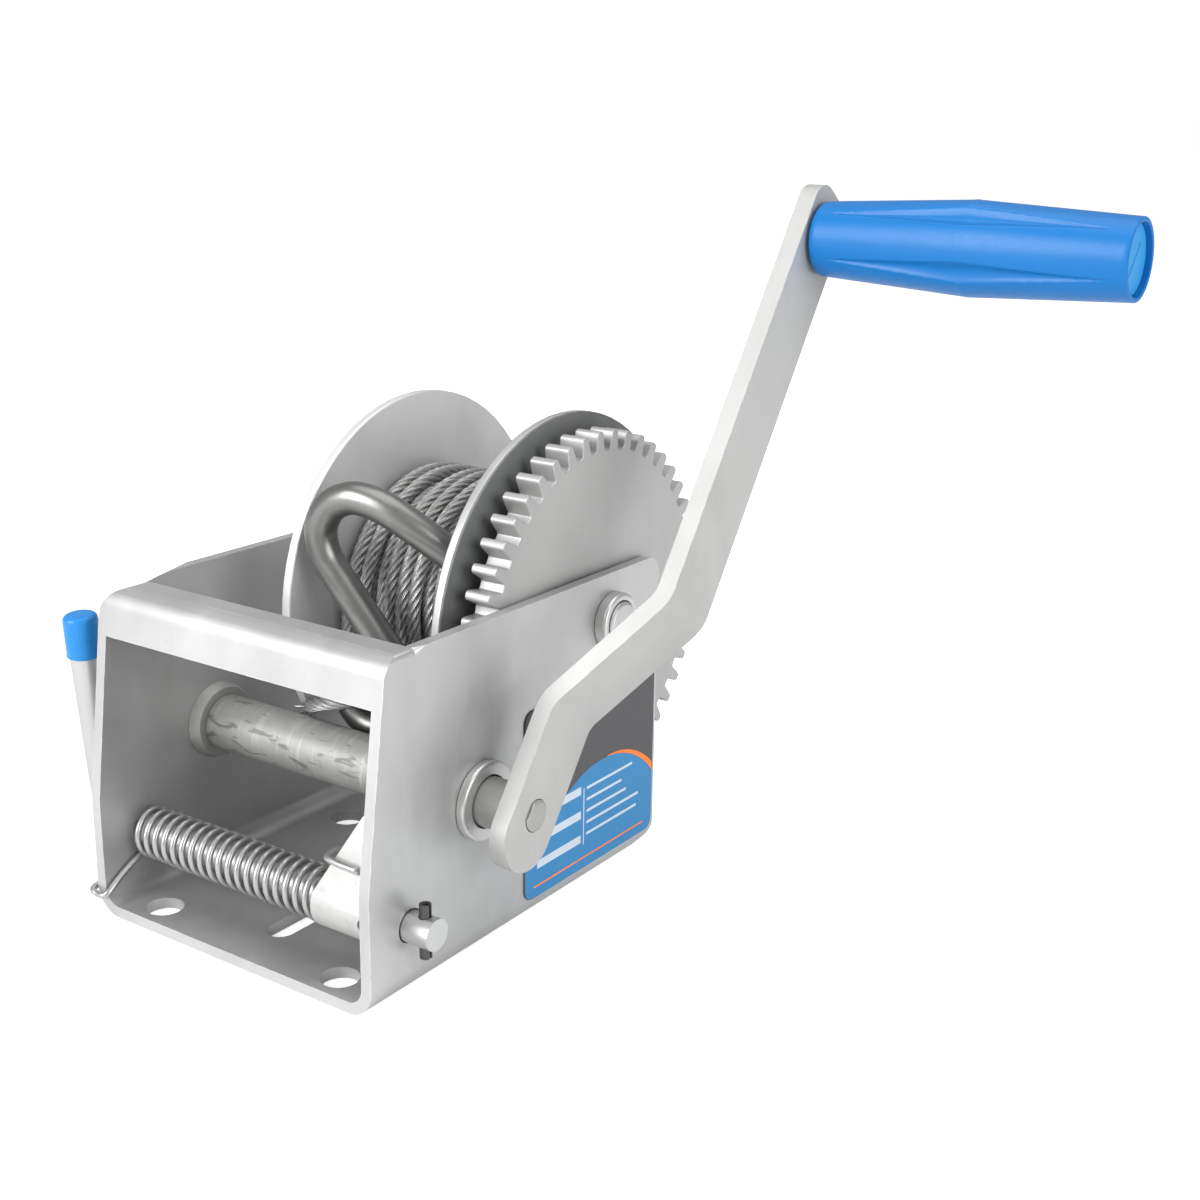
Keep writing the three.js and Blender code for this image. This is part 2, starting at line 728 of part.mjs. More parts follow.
// The flat bar is drawn lying down, with s along it, then stood up along the arm's lean.
function crankArm() {
  const start = -15;
  const end = ARM_LENGTH + 13;
  const endCorner = 6.5;
  const bendStart = 27.5;
  const bendEnd = 60;
  const outer = ARM_INNER + ARM_THICKNESS;
  const slope = Math.atan2(ARM_OFFSET, bendEnd - bendStart);
  const shift = ARM_THICKNESS * Math.tan(slope / 2);
  const edge = outline([
    [start, ARM_INNER],
    [bendStart + shift / 2, ARM_INNER, 12],
    [bendEnd + shift / 2, ARM_INNER + ARM_OFFSET, 7],
    [end, ARM_INNER + ARM_OFFSET],
    [end, outer + ARM_OFFSET],
    [bendEnd - shift / 2, outer + ARM_OFFSET, 12],
    [bendStart - shift / 2, outer, 7],
    [start, outer],
  ]);
  const half = ARM_WIDTH / 2;
  const bar = new THREE.ExtrudeGeometry(edge, {
    depth: ARM_WIDTH,
    bevelEnabled: false,
    curveSegments: 5,
  });
  bar.translate(0, 0, -half);
  const face = outline([
    [start, -half, half - 0.01],
    [end, -half, endCorner],
    [end, half, endCorner],
    [start, half, half - 0.01],
  ]);
  const blank = new THREE.ExtrudeGeometry(face, {
    depth: ARM_OFFSET * 3,
    bevelEnabled: false,
    curveSegments: 10,
  });
  blank.rotateX(-Math.PI / 2).translate(0, ARM_INNER - ARM_OFFSET, 0);
  const shaped = common(bar, blank);
  const across = new THREE.Vector3(1, 0, 0).cross(armDirection).negate();
  const stand = new THREE.Matrix4().makeBasis(armDirection, new THREE.Vector3(1, 0, 0), across);
  shaped.applyMatrix4(stand).translate(0, CRANK_AXIS.y, CRANK_AXIS.z);
  const shaftHole = cut(
    rod(ARM_INNER - THROUGH, ARM_OUTER + THROUGH, ARM_END_RADIUS + 0.15, CRANK_AXIS),
    ...shaftFlats(0.15),
  );
  const pad = ARM_INNER + ARM_OFFSET;
  const spindleHole = rod(pad - THROUGH, pad + 8, SPINDLE_HOLE, GRIP_AXIS, 24);
  return cut(shaped, shaftHole, spindleHole);
}

const SPINDLE = { radius: 4.8, neck: SPINDLE_HOLE - 0.15, end: GRIP_RIGHT - 7 };

function gripSpindle() {
  const inner = ARM_INNER + ARM_OFFSET;
  const outer = inner + ARM_THICKNESS;
  return turned(
    [
      [inner - 1.6, 0],
      [inner - 1.6, 5],
      [inner - 0.15, 6.2],
      [inner - 0.15, SPINDLE.neck],
      [outer + 0.15, SPINDLE.neck],
      [outer + 0.15, SPINDLE.radius],
      [SPINDLE.end, SPINDLE.radius],
      [SPINDLE.end, 3],
      [SPINDLE.end + 3, 3],
      [SPINDLE.end + 3, 0],
    ],
    GRIP_AXIS,
    20,
  );
}

function gripGeometry() {
  const bore = SPINDLE.radius + 0.3;
  const pocket = 8.9;
  const pocketStart = SPINDLE.end - 0.4;
  const rim = 0.8;
  const widest = GRIP_LEFT + (GRIP_RIGHT - GRIP_LEFT) / 2;
  return turned(
    [
      [GRIP_LEFT, bore],
      [GRIP_LEFT, 9.3],
      [GRIP_LEFT + rim, 10],
      [widest - 4, GRIP_RADIUS - 0.15],
      [widest, GRIP_RADIUS],
      [widest + 4, GRIP_RADIUS - 0.15],
      [GRIP_RIGHT - rim, 10.5],
      [GRIP_RIGHT, 9.9],
      [GRIP_RIGHT, pocket],
      [pocketStart, pocket],
      [pocketStart, bore],
    ],
    GRIP_AXIS,
    28,
  );
}

// ---------------------------------------------------------------- pawl and lever

const PAWL = { left: 23, right: INNER - 0.5, hub: 7.6, tipLeft: 35.5, tipZ: 46.5 };
const ROD_END = 58.5;
const ROLL_PIN = { x: 54.8, bottom: 12.9, top: 27.6, radius: 1.6 };
const PAWL_PIN_X = 41;
const LEVER_BEND = 9;

const leverDirection = new THREE.Vector3(0, -Math.sin(LEVER_LEAN), Math.cos(LEVER_LEAN));

function alongLever(distance) {
  const foot = new THREE.Vector3(LEVER_X, PAWL_AXIS.y, PAWL_AXIS.z);
  return foot.addScaledVector(leverDirection, distance);
}

// One bar, bent up outside the left wall to make the release lever.
function pawlLever() {
  const path = new THREE.CurvePath();
  const corner = new THREE.Vector3(LEVER_X, PAWL_AXIS.y, PAWL_AXIS.z);
  const right = new THREE.Vector3(ROD_END, PAWL_AXIS.y, PAWL_AXIS.z);
  const bendFoot = new THREE.Vector3(LEVER_X + LEVER_BEND, PAWL_AXIS.y, PAWL_AXIS.z);
  path.add(new THREE.LineCurve3(right, bendFoot));
  const bend = new THREE.QuadraticBezierCurve3(bendFoot, corner, alongLever(LEVER_BEND));
  path.add(bend);
  path.add(new THREE.LineCurve3(alongLever(LEVER_BEND), alongLever(LEVER_TOP)));
  const bar = wire(path, PAWL_ROD, 40, 18);
  const outerHole = pin(
    new THREE.Vector3(ROLL_PIN.x, PAWL_AXIS.y, PAWL_AXIS.z - 9),
    new THREE.Vector3(ROLL_PIN.x, PAWL_AXIS.y, PAWL_AXIS.z + 9),
    ROLL_PIN.radius + 0.15,
    16,
  );
  const innerHole = pin(
    new THREE.Vector3(PAWL_PIN_X, PAWL_AXIS.y - 9, PAWL_AXIS.z),
    new THREE.Vector3(PAWL_PIN_X, PAWL_AXIS.y + 9, PAWL_AXIS.z),
    1.9,
    16,
  );
  return cut(bar, outerHole, innerHole);
}

function pawlGeometry() {
  const { y, z } = PAWL_AXIS;
  const hub = rod(PAWL.left, PAWL.right, PAWL.hub, PAWL_AXIS);
  const finger = slab(
    outline([
      [y - 7.4, z + 1],
      [16.4, 44.6, 2],
      [19.5, PAWL.tipZ, 1],
      [23.4, 43.5, 1],
      [24, 33, 12],
      [y + 7.4, z + 1],
    ]),
    PAWL.left,
    PAWL.right,
    4,
  );
  const taper = new THREE.Shape();
  taper.moveTo(PAWL.left - THROUGH, z + 4);
  taper.lineTo(PAWL.left, z + 4);
  taper.lineTo(PAWL.tipLeft, PAWL.tipZ + THROUGH);
  taper.lineTo(PAWL.left - THROUGH, PAWL.tipZ + THROUGH);
  const bore = rod(PAWL.left - 1, PAWL.right + 1, PAWL_ROD + 0.15, PAWL_AXIS, 24);
  const crossHole = pin(
    new THREE.Vector3(PAWL_PIN_X, y - 12, z),
    new THREE.Vector3(PAWL_PIN_X, y + 12, z),
    1.9,
    16,
  );
  return cut(joined(hub, finger), lengthwise(taper, -20, 60), bore, crossHole);
}

function rollPin(start, end, radius) {
  const slot = 0.6;
  const wall = 0.7;
  const length = start.distanceTo(end);
  const shape = new THREE.Shape();
  const half = Math.asin(slot / 2 / radius);
  shape.absarc(0, 0, radius, half, 2 * Math.PI - half, false);
  shape.absarc(0, 0, radius - wall, 2 * Math.PI - half * 1.6, half * 1.6, true);
  const geometry = new THREE.ExtrudeGeometry(shape, {
    depth: length,
    bevelEnabled: false,
    curveSegments: 14,
  });
  const forward = new THREE.Vector3(0, 0, 1);
  const direction = end.clone().sub(start).normalize();
  geometry.applyQuaternion(new THREE.Quaternion().setFromUnitVectors(forward, direction));
  return geometry.translate(start.x, start.y, start.z);
}

function leverCap() {
  const inner = PAWL_ROD + 0.15;
  const outer = 4.85;
  const skirt = -10.5;
  const top = 1.9;
  const points = [
    [inner, skirt],
    [outer + 0.2, skirt],
    [outer, skirt + 1],
    [outer - 0.1, top - 1.1],
    [outer - 1.1, top],
    [0, top],
    [0, 0.2],
    [inner, 0.2],
    [inner, skirt],
  ].map(([radius, height]) => new THREE.Vector2(radius, height));
  const geometry = new THREE.LatheGeometry(points, 32);
  const up = new THREE.Vector3(0, 1, 0);
  geometry.applyQuaternion(new THREE.Quaternion().setFromUnitVectors(up, leverDirection));
  const end = alongLever(LEVER_TOP);
  return geometry.translate(end.x, end.y, end.z);
}

const SPRING_LEFT = -INNER + 1.3;
const SPRING_RIGHT = 21;

class SpringCurve extends THREE.Curve {
  // Coils round the pawl bar, from the left wall to the pawl.
  getPoint(t, target = new THREE.Vector3()) {
    const angle = -Math.PI / 2 - 0.35 + t * SPRING_TURNS * 2 * Math.PI;
    return target.set(
      SPRING_LEFT + t * (SPRING_RIGHT - SPRING_LEFT),
      PAWL_AXIS.y + SPRING_RADIUS * Math.cos(angle),
      PAWL_AXIS.z + SPRING_RADIUS * Math.sin(angle),
    );
  }
}

function springGeometry() {
  const coil = new SpringCurve();
  const start = coil.getPoint(0);
  const end = coil.getPoint(1);
  const front = -SPRING_WIRE - 0.5;
  const outside = -WALL - SPRING_WIRE - 0.4;
  const leftLeg = [
    new THREE.Vector3(outside, 3.2, 7.3),
    new THREE.Vector3(outside + 0.1, front + 0.5, 6.5),
    new THREE.Vector3(-WALL + 1.5, front, 5.9),
    new THREE.Vector3(-INNER + 1, front + 0.3, 6.3),
    new THREE.Vector3(SPRING_LEFT - 0.1, 5, 10.4),
  ];
  const edgeX = PAWL.left + 3.6;
  const rightLeg = [
    new THREE.Vector3(SPRING_RIGHT + 0.6, 13.3, 14.2),
    new THREE.Vector3(SPRING_RIGHT + 0.7, 19.8, 15.4),
    new THREE.Vector3(SPRING_RIGHT + 0.75, 23.4, 23.2),
    new THREE.Vector3(edgeX - 2.4, 19.4, 31),
    new THREE.Vector3(edgeX - 1.3, 15.4, 33.4),
    new THREE.Vector3(edgeX - 0.2, 10.7, 33.7),
    new THREE.Vector3(edgeX + 3.5, 9.9, 33.5),
    new THREE.Vector3(edgeX + 11.5, 9.9, 33.2),
  ];
  const coilPoints = [];
  const stepsPerTurn = 10;
  const total = SPRING_TURNS * stepsPerTurn;
  for (let i = 0; i <= total; i += 1) coilPoints.push(coil.getPoint(i / total));
  const curve = new THREE.CatmullRomCurve3([...leftLeg, ...coilPoints, ...rightLeg.slice(1)]);
  return wire(curve, SPRING_WIRE, total + 30, 6);
}

// ---------------------------------------------------------------- hook and free rope

// The hook lies in a plane that leans very slightly; this gives its depth.
function hookDepth(x, z) {
  return 51.8 + 0.12 * (x + 11) + 0.05 * (103 - z);
}

function hookPoint(x, z) {
  return new THREE.Vector3(x, hookDepth(x, z), z);
}

function hookGeometry() {
  const bend = [
    // x, z and how far behind the hook's own plane
    [26.9, 98.9, 7.6],
    [21.9, 103.4, 5],
    [16.4, 108, 2.6],
    [10.5, 111.9, 1],
    [5, 113.9, 0.35],
    [-1, 114.3, 0],
    [-7.6, 111.2, 0],
    [-11.5, 104.5, 0],
    [-10.6, 97.2, 0],
    [-6.4, 91, 0],
    [-1.2, 84.3, 0],
    [5, 76.4, 0],
    [10, 69.6, 0],
  ].map(([x, z, back]) => hookPoint(x, z).add(new THREE.Vector3(0, back, 0)));
  const eyeStart = 8;
  const eyeEnd = -242;
  const eyeSteps = 12;
  const eye = [];
  for (let i = 0; i <= eyeSteps; i += 1) {
    const angle = THREE.MathUtils.degToRad(eyeStart + ((eyeEnd - eyeStart) * i) / eyeSteps);
    const across = EYE.radius * Math.cos(angle);
    eye.push(hookPoint(EYE.x + across, EYE.z + EYE.radius * Math.sin(angle)));
  }
  return wire(new THREE.CatmullRomCurve3([...bend, ...eye]), HOOK_ROD, 60, 12);
}

// The free end of the rope, from the winding down through the eye of the hook.
const ROPE_ROUTE = [
  [-15, 65.2, 76],
  [-15, 65, 72],
  [-14.2, 64.6, 68],
  [-12, 64.2, 64.2],
  [-8.6, 63.7, 61.4],
  [-4.4, 62.8, 59.8],
  [-0.2, 60.4, 59],
  [2.6, 57, 58.7],
  [2.6, 53, 58.5],
  [0.2, 49.6, 58],
  [-3.6, 47.4, 57.2],
  [-8, 46.9, 56.2],
  [-12, 47.6, 54.6],
  [-14.8, 48.8, 53],
];

function ropeTail() {
  const points = ROPE_ROUTE.map(([x, y, z]) => new THREE.Vector3(x, y, z));
  return wire(new THREE.CatmullRomCurve3(points), ROPE / 2, 26, 8);
}

// ---------------------------------------------------------------- label

const LABEL = { fromY: 61.4, toY: 124.6, bottom: 6.9, top: 62, corner: 3.5 };

function labelGeometry() {
  const shape = outline([
    [LABEL.fromY, LABEL.bottom, LABEL.corner],
    [LABEL.toY, LABEL.bottom, LABEL.corner],
    [LABEL.toY, LABEL.top, LABEL.corner],
    [LABEL.fromY, LABEL.top, LABEL.corner],
  ]);
  return slab(shape, WALL + 0.08, WALL + 0.4, 4);
}

// ---------------------------------------------------------------- assembly

function washer(left, inner, outer, axis) {
  return tube(left, left + WASHER_THICKNESS, inner, outer, axis, 20);
}

function fixedPieces() {
  return [
    piece('frame', frameGeometry(), GALVANISED),
    piece('left_crank_bush', leftCrankBush(), BUSH_STEEL),
    piece('right_crank_bush', bush(CRANK_BUSH, 1, CRANK_AXIS), BUSH_STEEL),
    piece('left_drum_bush', bush(DRUM_BUSH, -1, DRUM_AXIS), BUSH_STEEL),
    piece('right_drum_bush', bush(RIGHT_DRUM_BUSH, 1, DRUM_AXIS), BUSH_STEEL),
    piece('drum_axle', drumAxle(), ZINC),
    piece('axle_washer', washer(-AXLE_END - 0.2 - WASHER_THICKNESS, 6.3, 9.5, DRUM_AXIS), ZINC),
    piece('axle_clip', clipRing(DRUM_CLIP_X - CLIP_THICKNESS, 5.2, 8.2, DRUM_AXIS), DARK_STEEL),
    piece('label', labelGeometry(), STICKER),
  ];
}

function drumPieces() {
  const sleeve = tube(-INNER + 0.5, INNER - 0.3, AXLE_RADIUS + 0.25, SLEEVE_RADIUS, DRUM_AXIS);
  const barrelLeft = LEFT_FLANGE + FLANGE_THICKNESS + 0.1;
  const barrel = tube(barrelLeft, RIGHT_FLANGE - 0.1, 19, BARREL_RADIUS, DRUM_AXIS, 32);
  return [
    piece('drum_sleeve', sleeve, ZINC),
    piece('drum_barrel', barrel, GALVANISED),
    piece('left_flange', leftFlange(), GALVANISED),
    piece('right_flange', flange(RIGHT_FLANGE), GALVANISED),
    piece('drum_gear', drumGear(), GALVANISED),
    piece('rope_winding', ropeWinding(), ROPE_STEEL),
    piece('anchor_rope', anchorRope(), ROPE_STEEL),
    piece('anchor_plate', anchorPlate(), ZINC),
    piece('anchor_bolt', anchorBolt(), ZINC),
    piece('anchor_nut', anchorNut(), ZINC),
  ];
}

function crankPieces() {
  const clipLeft = CRANK_CLIP_X - CLIP_THICKNESS;
  const washerLeft = -WALL - 0.3 - WASHER_THICKNESS;
  const endWasher = tube(SPINDLE.end + 0.2, SPINDLE.end + 1.7, 3.2, 7.6, GRIP_AXIS, 20);
  const cap = turned(
    [
      [GRIP_RIGHT - 3.4, 0],
      [GRIP_RIGHT - 3.4, 8.75],
      [GRIP_RIGHT - 2, 8.75],
      [GRIP_RIGHT - 1.6, 7.8],
      [GRIP_RIGHT - 1.6, 0],
    ],
    GRIP_AXIS,
    20,
  );
  return [
    piece('crank_shaft', crankShaft(), ZINC),
    piece('pinion', pinion(), ZINC),
    piece('pinion_key', pinionKey(), DARK_STEEL),
    piece('crank_washer', washer(washerLeft, 7, 10.5, CRANK_AXIS), ZINC),
    piece('crank_clip', clipRing(clipLeft, 5.9, 9, CRANK_AXIS), DARK_STEEL),
    piece('crank_arm', crankArm(), GALVANISED),
    piece('grip_spindle', gripSpindle(), ZINC),
    piece('spindle_washer', endWasher, ZINC),
    piece('grip', gripGeometry(), BLUE_PLASTIC),
    piece('grip_cap', cap, BLUE_PLASTIC),
  ];
}

function pawlPieces() {
  const { y, z } = PAWL_AXIS;
  const pawlPin = rollPin(
    new THREE.Vector3(PAWL_PIN_X, y - PAWL.hub, z),
    new THREE.Vector3(PAWL_PIN_X, y + PAWL.hub, z),
    1.7,
  );
  const endPin = rollPin(
    new THREE.Vector3(ROLL_PIN.x, y, ROLL_PIN.bottom),
    new THREE.Vector3(ROLL_PIN.x, y, ROLL_PIN.top),
    ROLL_PIN.radius,
  );
  return [
    piece('pawl_lever', pawlLever(), ZINC),
    piece('pawl', pawlGeometry(), ZINC),
    piece('pawl_pin', pawlPin, DARK_STEEL),
    piece('end_roll_pin', endPin, DARK_STEEL),
    piece('lever_cap', leverCap(), BLUE_PLASTIC),
    piece('pawl_spring', springGeometry(), SPRING_STEEL),
  ];
}

function hookPieces() {
  return [
    piece('hook', hookGeometry(), ZINC),
    piece('rope_tail', ropeTail(), ROPE_STEEL),
  ];
}

const pieces = [
  ...fixedPieces(),
  ...drumPieces(),
  ...crankPieces(),
  ...pawlPieces(),
  ...hookPieces(),
];

const winch = new THREE.Group();
for (const mesh of pieces) {
  mesh.geometry.translate(0, -ORIGIN_Y, 0);
  winch.add(mesh);
}

export default winch;
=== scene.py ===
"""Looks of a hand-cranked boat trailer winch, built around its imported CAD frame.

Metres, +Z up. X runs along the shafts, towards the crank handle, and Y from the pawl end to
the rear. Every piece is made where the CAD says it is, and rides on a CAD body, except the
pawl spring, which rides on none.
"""

import json
import math
import random

import bmesh
import bpy
from mathutils import Matrix, Vector


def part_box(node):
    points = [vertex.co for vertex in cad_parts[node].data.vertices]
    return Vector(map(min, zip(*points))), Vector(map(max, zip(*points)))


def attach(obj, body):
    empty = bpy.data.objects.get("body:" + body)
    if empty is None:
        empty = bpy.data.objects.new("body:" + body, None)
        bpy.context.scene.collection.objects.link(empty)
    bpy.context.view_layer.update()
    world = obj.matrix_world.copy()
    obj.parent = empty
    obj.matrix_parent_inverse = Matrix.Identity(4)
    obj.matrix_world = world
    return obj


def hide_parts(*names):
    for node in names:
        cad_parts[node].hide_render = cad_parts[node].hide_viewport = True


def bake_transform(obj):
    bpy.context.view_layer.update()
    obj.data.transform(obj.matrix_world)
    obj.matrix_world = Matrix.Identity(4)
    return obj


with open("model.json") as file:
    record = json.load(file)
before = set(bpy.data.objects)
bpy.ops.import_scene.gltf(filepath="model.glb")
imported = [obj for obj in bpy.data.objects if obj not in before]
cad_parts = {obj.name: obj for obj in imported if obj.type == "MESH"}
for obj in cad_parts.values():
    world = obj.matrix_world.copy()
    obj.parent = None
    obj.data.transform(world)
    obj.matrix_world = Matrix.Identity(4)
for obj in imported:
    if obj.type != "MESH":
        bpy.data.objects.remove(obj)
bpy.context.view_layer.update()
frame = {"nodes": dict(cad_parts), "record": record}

MM = 0.001


def centre_of(node):
    low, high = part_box(node)
    return (Vector(low) + Vector(high)) / 2


def shaft_centre(node):
    """The point at x = 0 on the axis of a round node."""
    middle = centre_of(node)
    return Vector((0, middle.y, middle.z))


DRUM_CENTRE = shaft_centre("right_flange")
GRIP_CENTRE = shaft_centre("grip")
PAWL_CENTRE = Vector((0, -48, 20.1)) * MM


# ---------------------------------------------------------------- camera

CAMERA_PLACE = Vector((0.2962, -0.3295, 0.2175))
CAMERA_AZIMUTH = math.radians(34.183)
CAMERA_ELEVATION = math.radians(16.827)
CAMERA_ROLL = math.radians(-0.982)
LENS = 49.93


def add_camera():
    """A camera that looks down at the front right corner, rolled very slightly."""
    level = math.cos(CAMERA_ELEVATION)
    back = Vector(
        (
            math.sin(CAMERA_AZIMUTH) * level,
            -math.cos(CAMERA_AZIMUTH) * level,
            math.sin(CAMERA_ELEVATION),
        )
    )
    right = (-back).cross(Vector((0, 0, 1))).normalized()
    down = (-back).cross(right)
    turned_right = math.cos(CAMERA_ROLL) * right + math.sin(CAMERA_ROLL) * down
    turned_up = math.sin(CAMERA_ROLL) * right - math.cos(CAMERA_ROLL) * down
    data = bpy.data.cameras.new("camera")
    data.lens = LENS
    data.sensor_width = 36
    data.clip_start = 0.01
    camera = bpy.data.objects.new("camera", data)
    bpy.context.scene.collection.objects.link(camera)
    turn = Matrix((turned_right, turned_up, back)).transposed()
    camera.matrix_world = Matrix.Translation(CAMERA_PLACE) @ turn.to_4x4()
    bpy.context.scene.camera = camera


add_camera()


# ---------------------------------------------------------------- paths and meshes


def smooth_path(points, per_span=8):
    """Centripetal Catmull-Rom points through the given ones."""
    points = [Vector(p) for p in points]
    first = points[0] * 2 - points[1]
    last = points[-1] * 2 - points[-2]
    knots = [first, *points, last]
    path = []
    for i in range(1, len(knots) - 2):
        p0, p1, p2, p3 = knots[i - 1 : i + 3]
        t1 = (p1 - p0).length ** 0.5
        t2 = t1 + (p2 - p1).length ** 0.5
        t3 = t2 + (p3 - p2).length ** 0.5
        for k in range(per_span):
            t = t1 + (t2 - t1) * k / per_span
            a1 = p0.lerp(p1, t / t1)
            a2 = p1.lerp(p2, (t - t1) / (t2 - t1))
            a3 = p2.lerp(p3, (t - t2) / (t3 - t2))
            b1 = a1.lerp(a2, t / t2)
            b2 = a2.lerp(a3, (t - t1) / (t3 - t1))
            path.append(b1.lerp(b2, (t - t1) / (t2 - t1)))
    path.append(points[-1])
    return path


def path_length(path):
    return sum((b - a).length for a, b in zip(path, path[1:]))


def even_path(path, step):
    """The path again, in steps of one length."""
    total = path_length(path)
    count = max(2, round(total / step))
    spots, walked, i = [path[0].copy()], 0.0, 0
    for k in range(1, count):
        wanted = total * k / count
        while walked + (path[i + 1] - path[i]).length < wanted:
            walked += (path[i + 1] - path[i]).length
            i += 1
        span = (path[i + 1] - path[i]).length
        spots.append(path[i].lerp(path[i + 1], (wanted - walked) / span))
    spots.append(path[-1].copy())
    return spots


def sections(path):
    """(place, side, side) at each point of a path, with no twist."""
    found = []
    normal = None
    for i, place in enumerate(path):
        ahead = path[min(i + 1, len(path) - 1)] - path[max(i - 1, 0)]
        ahead.normalize()
        if normal is None:
            normal = ahead.orthogonal().normalized()
        normal = (normal - ahead * normal.dot(ahead)).normalized()
        found.append((place, normal, ahead.cross(normal)))
    return found


class Shape:
    """Vertices, faces and UVs of a mesh in the making."""

    def __init__(self):
        self.points, self.faces, self.uvs = [], [], []

    def sweep(self, path, ring_at):
        """A tube along path. ring_at(i, distance) gives the section as (side, side, v) offsets."""
        start = len(self.points)
        walked, rings = 0.0, []
        for i, (place, side, other) in enumerate(sections(path)):
            if i:
                walked += (path[i] - path[i - 1]).length
            ring = ring_at(i, walked)
            rings.append((walked, [v for _, _, v in ring]))
            self.points += [place + side * a + other * b for a, b, _ in ring]
        sides = len(rings[0][1])
        for i in range(len(path) - 1):
            for k in range(sides):
                after = (k + 1) % sides
                low, high = start + i * sides, start + (i + 1) * sides
                self.faces.append((low + k, low + after, high + after, high + k))
                v0 = rings[i][1][k]
                v1 = rings[i][1][k + 1] if after else rings[i][1][0] + 1
                u0, u1 = rings[i][0] / MM, rings[i + 1][0] / MM
                self.uvs += [(u0, v0), (u0, v1), (u1, v1), (u1, v0)]
        self.faces.append(tuple(range(start + sides - 1, start - 1, -1)))
        self.uvs += [(0, 0)] * sides
        end = start + (len(path) - 1) * sides
        self.faces.append(tuple(range(end, end + sides)))
        self.uvs += [(0, 0)] * sides

    def lathe(self, profile, centre, segments, radius_at=None):
        """Turned about X. The profile is (x, radius) in metres, from end to end of the surface."""
        start = len(self.points)
        for x, radius in profile:
            for k in range(segments):
                angle = 2 * math.pi * k / segments
                r = radius_at(x, radius, angle) if radius_at else radius
                spot = (x, centre.y + r * math.cos(angle), centre.z + r * math.sin(angle))
                self.points.append(Vector(spot))
        for i in range(len(profile) - 1):
            for k in range(segments):
                after = (k + 1) % segments
                low, high = start + i * segments, start + (i + 1) * segments
                self.faces.append((low + k, high + k, high + after, low + after))
                u0, u1 = k / segments, (k + 1) / segments
                self.uvs += [(u0, i), (u0, i + 1), (u1, i + 1), (u1, i)]

    def build(self, name):
        mesh = bpy.data.meshes.new(name)
        mesh.from_pydata(self.points, [], self.faces)
        layer = mesh.uv_layers.new(name="UVMap")
        flat = [value for uv in self.uvs for value in uv]
        layer.data.foreach_set("uv", flat)
        mesh.shade_smooth()
        mesh.update()
        return add_object(name, mesh)


def add_object(name, data):
    obj = bpy.data.objects.new(name, data)
    bpy.context.scene.collection.objects.link(obj)
    return obj


def mesh_of(obj):
    """obj's mesh with its modifiers applied."""
    graph = bpy.context.evaluated_depsgraph_get()
    return bpy.data.meshes.new_from_object(obj.evaluated_get(graph))


def merged(mesh, distance):
    bm = bmesh.new()
    bm.from_mesh(mesh)
    bmesh.ops.remove_doubles(bm, verts=bm.verts, dist=distance)
    bmesh.ops.recalc_face_normals(bm, faces=bm.faces)
    bm.to_mesh(mesh)
    bm.free()


def finish_piece(obj, body, material, replaced=()):
    obj.data.materials.clear()
    obj.data.materials.append(material)
    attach(obj, body)
    if replaced:
        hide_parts(*replaced)
    return obj


BODIES = frame["record"]["behaviour"]["bodies"]
BODY_OF = {node: body for body, nodes in BODIES.items() for node in nodes}


def refined(node, material, bevel, angle=32):
    """A copy of a CAD node, flat faces joined up, with edges sharper than angle rounded."""
    mesh = frame["nodes"][node].data.copy()
    bm = bmesh.new()
    bm.from_mesh(mesh)
    bmesh.ops.remove_doubles(bm, verts=bm.verts, dist=1e-6)
    bmesh.ops.dissolve_limit(
        bm, angle_limit=math.radians(0.3), verts=bm.verts, edges=bm.edges, delimit={"NORMAL"}
    )
    bm.to_mesh(mesh)
    bm.free()
    mesh.name = node + "_look"
    mesh.shade_smooth()
    piece = add_object(node + "_look", mesh)
    rounding = piece.modifiers.new("edges", "BEVEL")
    rounding.width = bevel
    rounding.segments = 2
    rounding.limit_method = "ANGLE"
    rounding.angle_limit = math.radians(angle)
    rounding.harden_normals = True
    even = piece.modifiers.new("normals", "WEIGHTED_NORMAL")
    even.keep_sharp = True
    return finish_piece(piece, BODY_OF[node], material, [node])


def brighten_rim(piece, material):
    """Gives the faces that don't face along X a second material."""
    piece.data.materials.append(material)
    for face in piece.data.polygons:
        if abs(face.normal.x) < 0.5:
            face.material_index = 1


# ---------------------------------------------------------------- materials


MIX_COLOR_A, MIX_COLOR_B, MIX_COLOR_RESULT = 6, 7, 2  # a Mix node's sockets for colours


